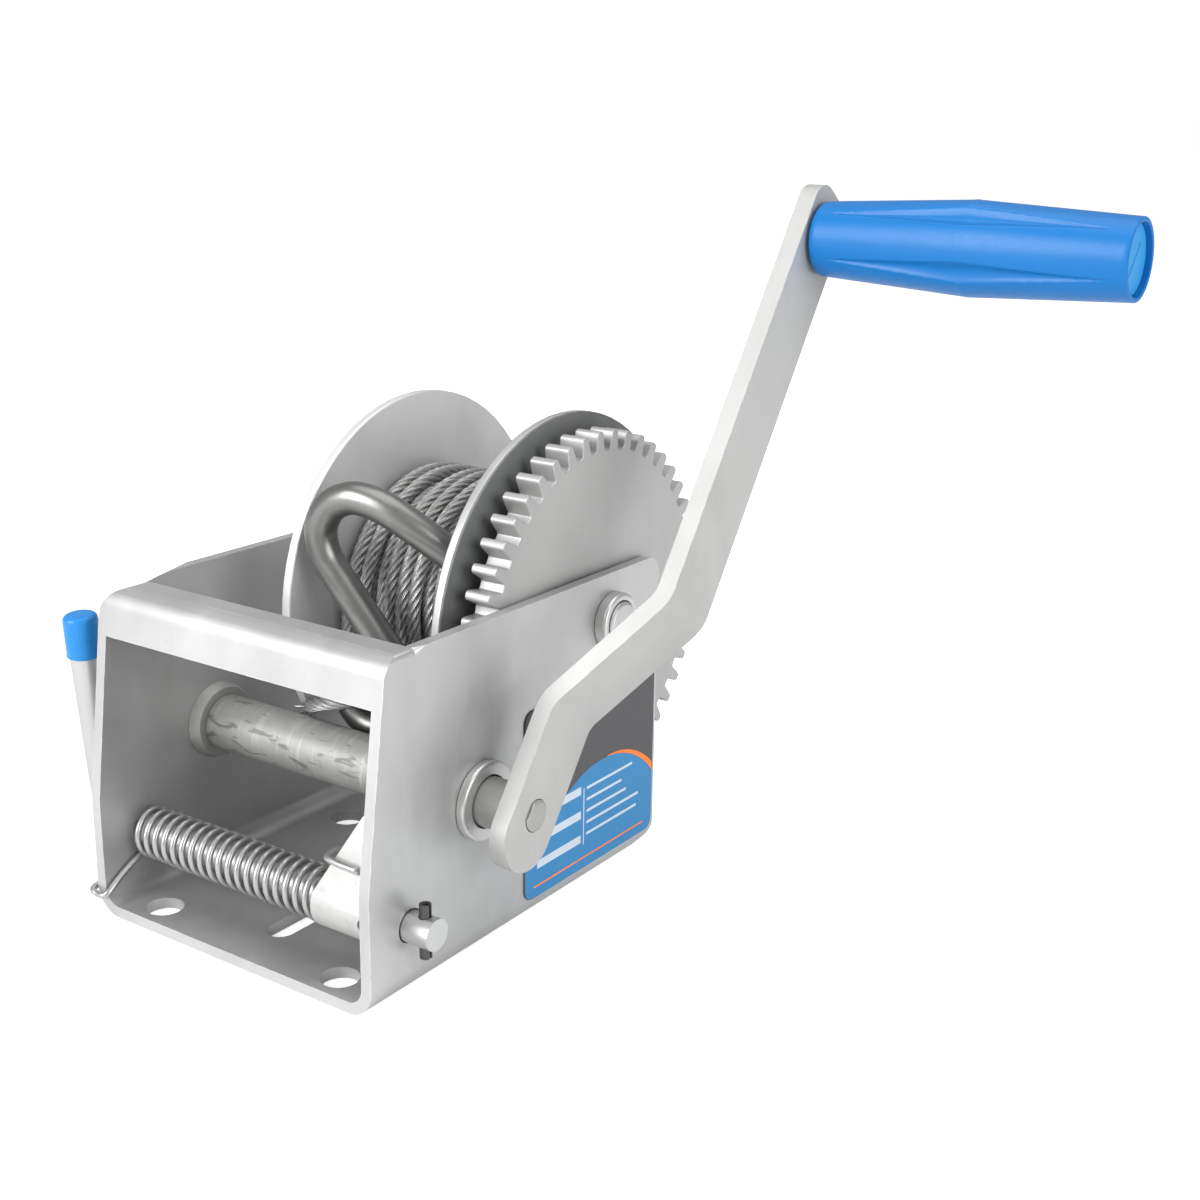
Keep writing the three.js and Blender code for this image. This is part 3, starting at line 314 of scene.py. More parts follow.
class Finish:
    """A procedural material, built up from noise in the object's own coordinates."""

    def __init__(self, name, color, roughness, metallic):
        self.material = bpy.data.materials.new(name)
        self.material.use_nodes = True
        self.nodes = self.material.node_tree.nodes
        self.links = self.material.node_tree.links
        self.shader = self.nodes["Principled BSDF"]
        self.place = self.nodes.new("ShaderNodeTexCoord").outputs["Object"]
        self.color = self.plain(color)
        self.set("Base Color", self.color)
        self.set("Roughness", roughness)
        self.set("Metallic", metallic)

    def plain(self, color):
        node = self.nodes.new("ShaderNodeRGB")
        node.outputs[0].default_value = (*color, 1)
        return node.outputs[0]

    def join(self, source, socket):
        if hasattr(source, "links"):
            self.links.new(source, socket)
        else:
            socket.default_value = source

    def set(self, name, source):
        self.join(source, self.shader.inputs[name])

    def noise(self, scale, detail=4, stretch=(1, 1, 1), distortion=0):
        """0 to 1. scale is in cells per metre."""
        mapping = self.nodes.new("ShaderNodeMapping")
        mapping.inputs["Scale"].default_value = stretch
        self.links.new(self.place, mapping.inputs["Vector"])
        node = self.nodes.new("ShaderNodeTexNoise")
        node.inputs["Scale"].default_value = scale
        node.inputs["Detail"].default_value = detail
        node.inputs["Roughness"].default_value = 0.55
        node.inputs["Distortion"].default_value = distortion
        self.links.new(mapping.outputs[0], node.inputs["Vector"])
        return node.outputs["Fac"]

    def axis(self, name):
        """X, Y or Z of the point shaded, in metres."""
        parts = self.nodes.new("ShaderNodeSeparateXYZ")
        self.links.new(self.place, parts.inputs[0])
        return parts.outputs[name]

    def spread(self, value, low, high, to_low=0.0, to_high=1.0):
        """value from low..high taken to to_low..to_high, and held there."""
        node = self.nodes.new("ShaderNodeMapRange")
        self.join(value, node.inputs["Value"])
        node.inputs["From Min"].default_value = low
        node.inputs["From Max"].default_value = high
        node.inputs["To Min"].default_value = to_low
        node.inputs["To Max"].default_value = to_high
        return node.outputs["Result"]

    def calculated(self, operation, a, b=0.0):
        node = self.nodes.new("ShaderNodeMath")
        node.operation = operation
        self.join(a, node.inputs[0])
        self.join(b, node.inputs[1])
        return node.outputs[0]

    def tint(self, factor, color):
        """Mixes a colour over the base colour by factor."""
        node = self.nodes.new("ShaderNodeMix")
        node.data_type = "RGBA"
        self.join(factor, node.inputs["Factor"])
        self.links.new(self.color, node.inputs[MIX_COLOR_A])
        node.inputs[MIX_COLOR_B].default_value = (*color, 1)
        self.color = node.outputs[MIX_COLOR_RESULT]
        self.set("Base Color", self.color)

    def bump(self, height, depth, strength=1.0):
        node = self.nodes.new("ShaderNodeBump")
        node.inputs["Distance"].default_value = depth
        node.inputs["Strength"].default_value = strength
        self.join(height, node.inputs["Height"])
        previous = self.shader.inputs["Normal"].links
        if previous:
            self.links.new(previous[0].from_socket, node.inputs["Normal"])
        self.links.new(node.outputs["Normal"], self.shader.inputs["Normal"])

    def edge_mask(self, radius):
        """Near 1 on sharp outer edges, by comparing a rounded normal with the true one."""
        rounded = self.nodes.new("ShaderNodeBevel")
        rounded.samples = 4
        rounded.inputs["Radius"].default_value = radius
        true = self.nodes.new("ShaderNodeNewGeometry").outputs["True Normal"]
        dot = self.nodes.new("ShaderNodeVectorMath")
        dot.operation = "DOT_PRODUCT"
        self.links.new(rounded.outputs[0], dot.inputs[0])
        self.links.new(true, dot.inputs[1])
        return self.spread(dot.outputs["Value"], 0.97, 0.8)


def scaled(color, share):
    return [min(1, c * share) for c in color]


# Where the painted dark reflection on the outside of the right wall lies, in the wall's own
# coordinates.
WALL_REFLECTION_PLACE = (-16 * MM, 10 * MM)  # along Y, and half the width
WALL_REFLECTION_FOOT = (20 * MM, 40 * MM)  # heights between which it fades in
WALL_REFLECTION_TOP = (88 * MM, 70 * MM)  # and out
OUTER_WALL = (48.5 * MM, 49.5 * MM)  # along X


def add_painted_wall_reflection(metal, color):
    """A soft dark upright patch painted on the outside of the right wall: a painted reflection,
    fixed to the wall.
    """
    middle, half_width = WALL_REFLECTION_PLACE
    off = metal.calculated("ABSOLUTE", metal.calculated("SUBTRACT", metal.axis("Y"), middle))
    band = metal.spread(off, 0, half_width, 1, 0)
    outer = metal.spread(metal.axis("X"), *OUTER_WALL)
    low = metal.spread(metal.axis("Z"), *WALL_REFLECTION_FOOT)
    high = metal.spread(metal.axis("Z"), *WALL_REFLECTION_TOP)
    across = metal.calculated("MULTIPLY", band, outer)
    along = metal.calculated("MULTIPLY", low, high)
    upright = metal.calculated("MULTIPLY", across, along)
    reflection_patches = metal.spread(metal.noise(40, 3), 0.3, 0.6, 0.5, 1)
    painted_reflection = metal.calculated("MULTIPLY", upright, reflection_patches)
    # Painted reflection: the wall's colour is darkened inside this patch.
    metal.tint(metal.spread(painted_reflection, 0, 1, 0, 0.6), scaled(color, 0.5))


# Colours tinted along the sheet edges: the bright one is partly nicks and partly a painted
# highlight along the edges; the dark one darkens the crank arm's edges.
BRIGHT_NICKS_AND_EDGE_HIGHLIGHT = (0.95, 0.95, 0.94)
DARK_EDGE_TINT = (0.2, 0.2, 0.195)


def sheet_metal(name, color, roughness, metallic, grain=1.0, edge_tint=BRIGHT_NICKS_AND_EDGE_HIGHLIGHT, wall=False):
    """Matte silver sheet: cloudy tone, fine tooth, a tint along the edges broken up by noise, a
    few specks and, with wall, a painted dark reflection on the right wall.
    """
    metal = Finish(name, color, roughness, metallic)
    clouds = metal.noise(26, 4, (1, 1, 0.45))
    metal.tint(metal.spread(clouds, 0.4, 0.68, 0.0, 0.55), scaled(color, 0.72))
    drift = metal.noise(95, 3, (1, 1, 0.4))
    metal.tint(metal.spread(drift, 0.5, 0.8, 0.0, 0.2), scaled(color, 1.18))
    specks = metal.noise(900, 2)
    metal.tint(metal.spread(specks, 0.73, 0.78, 0.0, 0.5), scaled(color, 0.45))
    # On the frame, a painted dark reflection on the outside of the right wall.
    if wall:
        add_painted_wall_reflection(metal, color)
    # A tint along the sharp edges, broken up by noise: partly nicks and partly a painted edge
    # highlight with the bright tint, a darker edge with the dark one.
    edges = metal.edge_mask(0.5 * MM)
    worn = metal.calculated("MULTIPLY", edges, metal.spread(metal.noise(260, 3), 0.42, 0.6))
    metal.tint(metal.spread(worn, 0, 1, 0, 0.7), edge_tint)
    rough = metal.noise(60, 4)
    metal.set("Roughness", metal.spread(rough, 0.3, 0.7, roughness - 0.06, roughness + 0.08))
    metal.bump(metal.noise(2600, 3), 0.02 * MM * grain, 0.35)
    metal.bump(metal.noise(120, 3), 0.12 * MM * grain, 0.25)
    return metal.material


def plated_steel(name, color, roughness, metallic=0.85, marks=0.3):
    """Zinc-plated or bare steel: soft clouds, small rubbed marks and a fine tooth."""
    metal = Finish(name, color, roughness, metallic)
    clouds = metal.noise(70, 3)
    metal.tint(metal.spread(clouds, 0.42, 0.75, 0, 0.3), scaled(color, 0.75))
    rubbed = metal.noise(330, 4)
    metal.tint(metal.spread(rubbed, 0.6, 0.72, 0, marks), scaled(color, 0.6))
    metal.set("Roughness", metal.spread(clouds, 0.3, 0.7, roughness - 0.02, roughness + 0.06))
    metal.bump(metal.noise(1800, 2), 0.008 * MM, 0.2)
    return metal.material


def worn_shaft(name, wear_end):
    """Cast-looking grey shaft with turned rings, dark pits and long rubbed streaks.

    Past wear_end along X it is clean.
    """
    metal = Finish(name, (0.38, 0.38, 0.37), 0.5, 0.5)
    wear = metal.spread(metal.axis("X"), wear_end, wear_end + 1 * MM, 1, 0)

    def worn(noise, low, high, most):
        return metal.calculated("MULTIPLY", metal.spread(noise, low, high, 0, most), wear)

    blotches = metal.noise(150, 5, (0.5, 1, 1))
    metal.tint(worn(blotches, 0.42, 0.68, 0.5), (0.28, 0.28, 0.275))
    streaks = metal.noise(420, 5, (0.2, 1, 1), distortion=0.6)
    metal.tint(worn(streaks, 0.46, 0.62, 0.5), (0.34, 0.34, 0.33))
    rings = metal.noise(620, 4, (1, 0.1, 0.1))
    metal.tint(worn(rings, 0.52, 0.66, 0.25), (0.68, 0.68, 0.66))
    pits = metal.noise(300, 5, (0.3, 1, 1), distortion=1.2)
    metal.tint(worn(pits, 0.58, 0.66, 0.75), (0.14, 0.14, 0.135))
    metal.bump(worn(rings, 0, 1, 1), 0.06 * MM, 0.5)
    metal.bump(worn(streaks, 0, 1, 1), 0.12 * MM, 0.6)
    return metal.material


def moulded_plastic(name, color, roughness):
    """Coloured plastic with a very fine grain and faint flow marks along X."""
    plastic = Finish(name, color, roughness, 0.0)
    plastic.set("Specular IOR Level", 0.35)
    flow = plastic.noise(80, 3, (0.2, 1, 1))
    pale = [min(1, c * 1.25 + 0.01) for c in color]
    plastic.tint(plastic.spread(flow, 0.4, 0.8, 0, 0.25), pale)
    grain = plastic.noise(1500, 3)
    plastic.set("Roughness", plastic.spread(grain, 0.3, 0.7, roughness - 0.05, roughness + 0.07))
    plastic.bump(grain, 0.015 * MM, 0.4)
    plastic.bump(plastic.noise(130, 2, (0.3, 1, 1)), 0.1 * MM, 0.25)
    return plastic.material


WIRES_PER_MM = 0.34  # wires crossed along a strand
WIRES_AROUND = 6 * 5  # five on the face of each of six strands


def wire_rope(name):
    """Galvanised strands: each strand's wires are drawn by a fine ripple across it, with painted
    shade in the grooves between them.
    """
    metal = Finish(name, (0.66, 0.67, 0.66), 0.4, 0.85)
    uv = metal.nodes.new("ShaderNodeUVMap")
    parts = metal.nodes.new("ShaderNodeSeparateXYZ")
    metal.links.new(uv.outputs[0], parts.inputs[0])
    along = metal.calculated("MULTIPLY", parts.outputs["X"], WIRES_PER_MM)
    around = metal.calculated("MULTIPLY", parts.outputs["Y"], WIRES_AROUND)
    phase = metal.calculated("MULTIPLY", metal.calculated("ADD", along, around), 2 * math.pi)
    ripple = metal.calculated("SINE", phase)
    # Painted shade: the grooves between the wires, where the ripple is low, are darkened.
    metal.tint(metal.spread(ripple, -0.9, 0.2, 0.8, 0), (0.1, 0.1, 0.095))
    dirt = metal.noise(300, 4)
    metal.tint(metal.spread(dirt, 0.45, 0.75, 0, 0.3), (0.36, 0.36, 0.34))
    metal.bump(ripple, 0.09 * MM, 0.6)
    return metal.material


# The frame's finish, which carries the painted dark reflection on the right wall.
GALVANISED = sheet_metal("galvanised", (0.57, 0.575, 0.57), 0.42, 0.72, wall=True)
# The drum's metal is lighter than the frame's: its own tone with painted light, for the lit face
# of the left flange. SHADED_METAL is a dark copy of it, painted shade, for the right flange's
# faces, which stay dark grey from every side.
DRUM_METAL = sheet_metal("drum_metal", (0.72, 0.725, 0.72), 0.45, 0.5)
SHADED_METAL = sheet_metal("shaded_metal", (0.22, 0.225, 0.225), 0.5, 0.6)
GEAR_METAL = sheet_metal("gear_metal", (0.49, 0.49, 0.485), 0.45, 0.65, 1.6)
ARM_METAL = sheet_metal("arm_metal", (0.5, 0.5, 0.49), 0.5, 0.45, 1.4, DARK_EDGE_TINT)
ZINC = plated_steel("zinc", (0.62, 0.625, 0.62), 0.36)
LEVER_ZINC = plated_steel("lever_zinc", (0.6, 0.605, 0.6), 0.34, 0.9, 0.1)
PAWL_ZINC = plated_steel("pawl_zinc", (0.54, 0.54, 0.53), 0.5, 0.5)
BUSH_STEEL = plated_steel("bush_steel", (0.44, 0.44, 0.43), 0.5, 0.6)
# A lighter, glossier copy of the bush steel for the bushes on the right wall: the gloss is a
# polished finish, the lighter colour is painted light.
BRIGHT_BUSH = plated_steel("bright_bush", (0.66, 0.66, 0.65), 0.3, 0.8, 0.15)
SPRING_STEEL = plated_steel("spring_steel", (0.5, 0.5, 0.5), 0.3, 0.9, 0.1)
HOOK_STEEL = plated_steel("hook_steel", (0.25, 0.25, 0.245), 0.33, 0.9)
DARK_STEEL = plated_steel("dark_steel", (0.1, 0.1, 0.105), 0.42, 0.8)
SHAFT_STEEL = worn_shaft("shaft_steel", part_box("frame")[1][0])
ROPE_STEEL = wire_rope("rope_steel")
BLUE = moulded_plastic("blue_plastic", (0.0, 0.145, 0.44), 0.36)
# The end cap's paler blue is partly the cap's own colour and partly a painted reflection of the
# white room on its face.
CAP_BLUE = moulded_plastic("cap_blue", (0.03, 0.27, 0.62), 0.42)
LEVER_BLUE = moulded_plastic("lever_blue", (0.014, 0.22, 0.6), 0.3)
FILM_GREY = moulded_plastic("film_grey", (0.075, 0.073, 0.078), 0.4)
FILM_BLUE = moulded_plastic("film_blue", (0.03, 0.215, 0.46), 0.4)
FILM_ORANGE = moulded_plastic("film_orange", (0.9, 0.2, 0.02), 0.4)
FILM_WHITE = moulded_plastic("film_white", (0.55, 0.62, 0.7), 0.4)


# ---------------------------------------------------------------- rope

ROPE_RADIUS = 2 * MM
STRANDS = 6
STRAND_REACH = 112  # degrees of a strand's surface drawn each way from its outermost line
LAY = 19 * MM  # length of one full turn of a strand
ROPE_STEP = 1.0 * MM


def rope_ring(points_per_strand):
    """ring_at for a rope of six round strands, each drawn over its outer side."""
    strand = ROPE_RADIUS / 3
    reach = math.radians(STRAND_REACH)

    def ring_at(_, walked):
        twist = 2 * math.pi * walked / LAY
        ring = []
        for s in range(STRANDS):
            middle = twist + 2 * math.pi * s / STRANDS
            for k in range(points_per_strand):
                share = k / (points_per_strand - 1)
                turn = middle + reach * (2 * share - 1)
                a = 2 * strand * math.cos(middle) + strand * math.cos(turn)
                b = 2 * strand * math.sin(middle) + strand * math.sin(turn)
                ring.append((a, b, (s + share * 0.999) / STRANDS))
        return ring

    return ring_at


ROPE_ROUTE = [
    (-15, 2.2, 76),
    (-15, 2, 72),
    (-14.2, 1.6, 68),
    (-12, 1.2, 64.2),
    (-8.6, 0.7, 61.4),
    (-4.4, -0.2, 59.8),
    (-0.2, -2.6, 59),
    (2.6, -6, 58.7),
    (2.6, -10, 58.5),
    (0.2, -13.4, 58),
    (-3.6, -15.6, 57.2),
    (-8, -16.1, 56.2),
    (-12, -15.4, 54.6),
    (-14.8, -14.2, 53),
]


def rope_tail():
    """The free end of the cable, from the drum through the hook's eye, frayed at its end."""
    route = smooth_path([Vector(p) * MM for p in ROPE_ROUTE])
    path = even_path(route, ROPE_STEP / 2)
    rope = Shape()
    rope.sweep(path, rope_ring(10))
    tail = rope.build("rope_tail_strands")
    finish_piece(tail, "frame", ROPE_STEEL, ["rope_tail"])
    fray = frayed_end(path)


FRAYED_WIRES = 9


def frayed_end(path):
    """Short wires splaying out of the cut end of the cable."""
    draw = random.Random(4)
    end = path[-1]
    _, side, other = sections(path)[-1]
    ahead = (path[-1] - path[-4]).normalized()
    wires = Shape()
    for s in range(FRAYED_WIRES):
        angle = 2 * math.pi * s / FRAYED_WIRES * 4
        out = side * math.cos(angle) + other * math.sin(angle)
        start = end + out * ROPE_RADIUS * draw.uniform(0.2, 0.75) - ahead * 1.5 * MM
        splay = draw.uniform(0.5, 2.6) * MM
        reach = draw.uniform(2.2, 4.2) * MM
        points = [
            start,
            start + ahead * 1.6 * MM,
            start + ahead * (1.6 * MM + reach * 0.5) + out * splay * 0.4,
            start + ahead * (1.6 * MM + reach) + out * splay,
        ]
        radius = draw.uniform(0.34, 0.5) * MM
        wires.sweep(smooth_path(points, 4), circle_ring(radius, 8))
    piece = wires.build("rope_tail_fray")
    return finish_piece(piece, "frame", SPRING_STEEL)


def circle_ring(radius, sides, taper=None):
    """ring_at for a round bar; taper(i) scales its radius."""

    def ring_at(i, _):
        r = radius * (taper(i) if taper else 1)
        turns = [2 * math.pi * k / sides for k in range(sides)]
        return [(r * math.cos(t), r * math.sin(t), k / sides) for k, t in enumerate(turns)]

    return ring_at


rope_tail()

# mm along the drum in each turn of the top layer
TOP_PITCHES = (5.2, 4.4, 12.5, 4.3, 4.6, 8.8, 4.4)
TOP_TURNS = len(TOP_PITCHES)
UNDER_RADIUS = 28.6 * MM
BASE_RADIUS = 30.5 * MM
TOP_RADIUS = 34.0 * MM
CORE_RADIUS = 22.3 * MM
BASE_PITCH = 4.03 * MM
STEPS_PER_TURN = 60
LEAVE_ANGLE = math.radians(182.8)  # where the cable leaves the drum, seen along X
LEAVE_X = ROPE_ROUTE[0][0] * MM


def base_turn(turn, left):
    """x and radius of the outer full layer, which runs from left to right."""
    return left + turn * BASE_PITCH, BASE_RADIUS + 0.12 * MM * math.sin(3.7 * turn)


def top_turn(done, right):
    """x and radius of the untidy layer on top, which crosses over in the middle of each turn."""
    whole = min(int(done), TOP_TURNS - 1)
    part = done - whole
    crossing = part * part * (3 - 2 * part)
    walked = sum(TOP_PITCHES[:whole]) + TOP_PITCHES[whole] * (0.35 * part + 0.65 * crossing)
    scale = (right - LEAVE_X) / (sum(TOP_PITCHES) * MM)
    climb = min(1, done / 0.4)
    leave = max(0, 1 - (TOP_TURNS - done) / 0.16)
    radius = BASE_RADIUS + (TOP_RADIUS - BASE_RADIUS) * climb + 2.2 * MM * leave**2
    return right - walked * scale * MM, radius


def winding_path():
    """The outer layer from left to right, then an untidy one back over it."""
    low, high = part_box("rope_winding")
    left, right = low[0] + ROPE_RADIUS, high[0] - ROPE_RADIUS
    base_turns = (right - left) / BASE_PITCH
    turns = base_turns + TOP_TURNS
    start_angle = LEAVE_ANGLE - 2 * math.pi * turns
    path = []
    for k in range(round(turns * STEPS_PER_TURN) + 1):
        turn = min(k / STEPS_PER_TURN, turns)
        angle = start_angle + 2 * math.pi * turn
        wander = (0.22 * math.sin(2.1 * turn) + 0.16 * math.sin(5.3 * turn + 1)) * MM
        if turn < base_turns:
            x, radius = base_turn(turn, left)
            x += wander
        else:
            done = turn - base_turns
            x, radius = top_turn(done, right)
            x += wander * min(1, 2 * (TOP_TURNS - done))
        x = min(max(x, left), right)
        across = Vector((0, radius * math.cos(angle), radius * math.sin(angle)))
        path.append(DRUM_CENTRE + across + Vector((x, 0, 0)))
    return path


def rope_winding():
    """The two layers that show, over a ridged body for the layers under them."""
    rope = Shape()
    rope.sweep(even_path(winding_path(), ROPE_STEP), rope_ring(6))
    low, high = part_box("rope_winding")
    ridges, steps = 12, 6
    span = high[0] - low[0]
    profile = [(low[0], CORE_RADIUS)]
    for k in range(ridges * steps + 1):
        ridge = abs(math.sin(math.pi * k / steps)) ** 0.7
        x = low[0] + span * k / (ridges * steps)
        profile.append((x, UNDER_RADIUS - 1.6 * MM * (1 - ridge)))
    profile.append((high[0], CORE_RADIUS))
    profile.append(profile[0])
    rope.lathe(profile, DRUM_CENTRE, 72)
    piece = rope.build("rope_winding_strands")
    finish_piece(piece, "drum", ROPE_STEEL, ["rope_winding"])


def anchor_rope():
    low, high = (Vector(p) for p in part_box("anchor_rope"))
    middle = (low + high) / 2
    ends = [Vector((middle.x, middle.y, low.z)), Vector((middle.x, middle.y, high.z))]
    rope = Shape()
    rope.sweep(even_path(ends, ROPE_STEP / 2), rope_ring(8))
    piece = rope.build("anchor_rope_strands")
    finish_piece(piece, "drum", ROPE_STEEL, ["anchor_rope"])


# ---------------------------------------------------------------- plates and turned pieces


CIRCLE_POINTS = 64


def plate(loops, low_x, high_x, edge):
    """A mesh cut from flat (y, z) outlines, from low_x to high_x, with its edges rounded."""
    curve = bpy.data.curves.new("plate", "CURVE")
    curve.dimensions = "2D"
    curve.fill_mode = "BOTH"
    curve.extrude = (high_x - low_x) / 2 - edge
    curve.bevel_depth = edge
    curve.bevel_resolution = 2
    curve.offset = -edge
    for loop in loops:
        spline = curve.splines.new("POLY")
        spline.points.add(len(loop) - 1)
        for point, (y, z) in zip(spline.points, loop):
            point.co = (y, z, 0, 1)
        spline.use_cyclic_u = True
    blank = add_object("plate", curve)
    mesh = mesh_of(blank)
    bpy.data.objects.remove(blank)
    stand = Matrix(((0, 0, 1, 0), (1, 0, 0, 0), (0, 1, 0, 0), (0, 0, 0, 1)))
    mesh.transform(Matrix.Translation(((low_x + high_x) / 2, 0, 0)) @ stand)
    merged(mesh, 1e-7)
    return mesh


def circle(centre, radius):
    turns = [2 * math.pi * k / CIRCLE_POINTS for k in range(CIRCLE_POINTS)]
    return [(centre.y + radius * math.cos(t), centre.z + radius * math.sin(t)) for t in turns]


def rounded(low_y, low_z, high_y, high_z, radius, count=8):
    """A rectangle's outline with rounded corners, in metres."""
    corners = [
        (high_y - radius, high_z - radius, 0),
        (low_y + radius, high_z - radius, 90),
        (low_y + radius, low_z + radius, 180),
        (high_y - radius, low_z + radius, 270),
    ]
    outline = []
    for y, z, start in corners:
        for k in range(count + 1):
            angle = math.radians(start + 90 * k / count)
            outline.append((y + radius * math.cos(angle), z + radius * math.sin(angle)))
    return outline


def joined(name, *meshes):
    """One piece made of several meshes."""
    bm = bmesh.new()
    for mesh in meshes:
        bm.from_mesh(mesh)
    whole = bpy.data.meshes.new(name)
    bm.to_mesh(whole)
    bm.free()
    piece = add_object(name, whole)
    whole.shade_smooth()
    return piece


def sharp_shading(piece, angle=30):
    """Smooth shading, except across edges sharper than the angle."""
    mesh = piece.data
    mesh.shade_smooth()
    mesh.set_sharp_from_angle(angle=math.radians(angle))
    even = piece.modifiers.new("normals", "WEIGHTED_NORMAL")
    even.keep_sharp = True


GEAR_TEETH = 46
GEAR_PHASE = math.radians(161)
GEAR_WEB = 38.3 * MM  # along X; the boss is left of it
GEAR_BORE = 11.15 * MM
GEAR_BOSS = 17 * MM
TOOTH_EDGE = (  # (radius, half the tooth's width at that radius), in mm
    (47.5, 2.45),
    (47.62, 2.15),
    (48.1, 1.88),
    (49.5, 1.72),
    (51.2, 1.47),
    (52.0, 1.33),
    (52.45, 1.12),
    (52.7, 0.8),
    (52.8, 0.35),
)


def gear_outline():
    outline = []
    for tooth in range(GEAR_TEETH):
        middle = GEAR_PHASE + 2 * math.pi * tooth / GEAR_TEETH
        sides = [(r, -w) for r, w in TOOTH_EDGE] + [(r, w) for r, w in reversed(TOOTH_EDGE)]
        for radius, offset in sides:
            angle = middle + offset / radius
            y = DRUM_CENTRE.y + radius * MM * math.cos(angle)
            z = DRUM_CENTRE.z + radius * MM * math.sin(angle)
            outline.append((y, z))
    return outline


def drum_gear():
    low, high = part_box("drum_gear")
    bore = circle(DRUM_CENTRE, GEAR_BORE)
    wheel = plate([gear_outline(), bore], GEAR_WEB, high[0], 0.35 * MM)
    boss_rim = circle(DRUM_CENTRE, GEAR_BOSS)
    boss = plate([boss_rim, bore], low[0], GEAR_WEB + 0.2 * MM, 0.3 * MM)
    piece = joined("drum_gear_teeth", wheel, boss)
    sharp_shading(piece)
    finish_piece(piece, "drum", GEAR_METAL, ["drum_gear"])


# ---------------------------------------------------------------- grip

FLUTES = 5
FLUTE_CENTRE = math.radians(134)
FLUTE_HALF_WIDTH = math.radians(14.5)
FLUTE_DEPTH = 1.6 * MM
FLUTE_END = 0.94  # share of half the grip's length at which a flute comes to a point
FLUTED_FROM = 9 * MM  # only the outside is scooped, not the bore

GRIP_LEFT, GRIP_RIGHT = (corner[0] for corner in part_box("grip"))
GRIP_MIDDLE = (GRIP_LEFT + GRIP_RIGHT) / 2
GRIP_BORE = 5.1 * MM
GRIP_POCKET = 8.9 * MM
GRIP_STEPS = 40  # rings along each cone
LEFT_EDGE = [(0, 8.9), (0.15, 9.35), (0.7, 9.8)]  # (mm from the left end, radius in mm)
RIGHT_RIM = [  # (mm from the right end, radius in mm)
    (1.5, 10.3),
    (0.35, 10.27),
    (0.1, 10.17),
    (0, 9.95),
    (0, 9.3),
    (0.1, 9.08),
    (0.4, 8.98),
]


def grip_radius(x, radius, angle):
    """The barrel's radius with lens-shaped flutes scooped out of it, widest in the middle."""
    inset = abs(x - GRIP_MIDDLE) / ((GRIP_RIGHT - GRIP_LEFT) / 2)
    width = FLUTE_HALF_WIDTH * max(0.0, 1 - inset / FLUTE_END)
    if width <= 0 or radius < FLUTED_FROM:
        return radius
    pitch = 2 * math.pi / FLUTES
    off = (angle - FLUTE_CENTRE + pitch / 2) % pitch - pitch / 2
    if abs(off) >= width:
        return radius
    scoop = 1 - (off / width) ** 2
    return radius - FLUTE_DEPTH * scoop * (width / FLUTE_HALF_WIDTH) ** 0.8


def cone(left, right, left_radius, right_radius):
    """(x, radius) along a straight cone, without its two ends."""
    shares = [k / GRIP_STEPS for k in range(1, GRIP_STEPS)]
    swell = right_radius - left_radius
    return [(left + (right - left) * t, (left_radius + swell * t) * MM) for t in shares]


def grip_profile():
    """Bore, left cone, right cone, thin rim, and the pocket that the cap sits in."""
    left, right = GRIP_LEFT, GRIP_RIGHT
    floor = right - 7.4 * MM
    profile = [(left, GRIP_BORE)]
    profile += [(left + inset * MM, radius * MM) for inset, radius in LEFT_EDGE]
    profile += cone(left + 0.7 * MM, GRIP_MIDDLE, 9.8, 12.15)
    profile.append((GRIP_MIDDLE, 12.2 * MM))
    profile += cone(GRIP_MIDDLE, right - 1.6 * MM, 12.15, 10.3)
    profile += [(right - back * MM, radius * MM) for back, radius in RIGHT_RIM]
    return profile + [(floor, GRIP_POCKET), (floor, GRIP_BORE), profile[0]]


def grip():
    shape = Shape()
    shape.lathe(grip_profile(), GRIP_CENTRE, 240, grip_radius)
    piece = shape.build("grip_fluted")
    merged(piece.data, 1e-7)
    sharp_shading(piece, 40)
    finish_piece(piece, "grip", BLUE, ["grip"])


SLOT_LENGTH = 10.5 * MM
SLOT_WIDTH = 1.3 * MM
SLOT_DEPTH = 0.25 * MM
SLOT_TURN = math.radians(48)
CAP_RADIUS = 8.85 * MM


def grip_cap():
    """The sunk end cap of the grip, with a screwdriver slot across it."""
    low, high = (Vector(p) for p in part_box("grip_cap"))
    face = high.x - SLOT_DEPTH
    half_length, half_width = SLOT_LENGTH / 2, SLOT_WIDTH / 2
    slot = []
    corner = half_width * 0.8
    for y, z in rounded(-half_length, -half_width, half_length, half_width, corner, 4):
        turned_y = y * math.cos(SLOT_TURN) - z * math.sin(SLOT_TURN)
        turned_z = y * math.sin(SLOT_TURN) + z * math.cos(SLOT_TURN)
        slot.append((GRIP_CENTRE.y + turned_y, GRIP_CENTRE.z + turned_z))
    rim = circle(GRIP_CENTRE, CAP_RADIUS)
    slotted = plate([rim, slot], face, high.x, 0.12 * MM)
    back = plate([rim], low.x, face + 0.05 * MM, 0.1 * MM)
    piece = joined("grip_cap_slotted", slotted, back)
    sharp_shading(piece)
    finish_piece(piece, "grip", CAP_BLUE, ["grip_cap"])


# ---------------------------------------------------------------- spring, hook

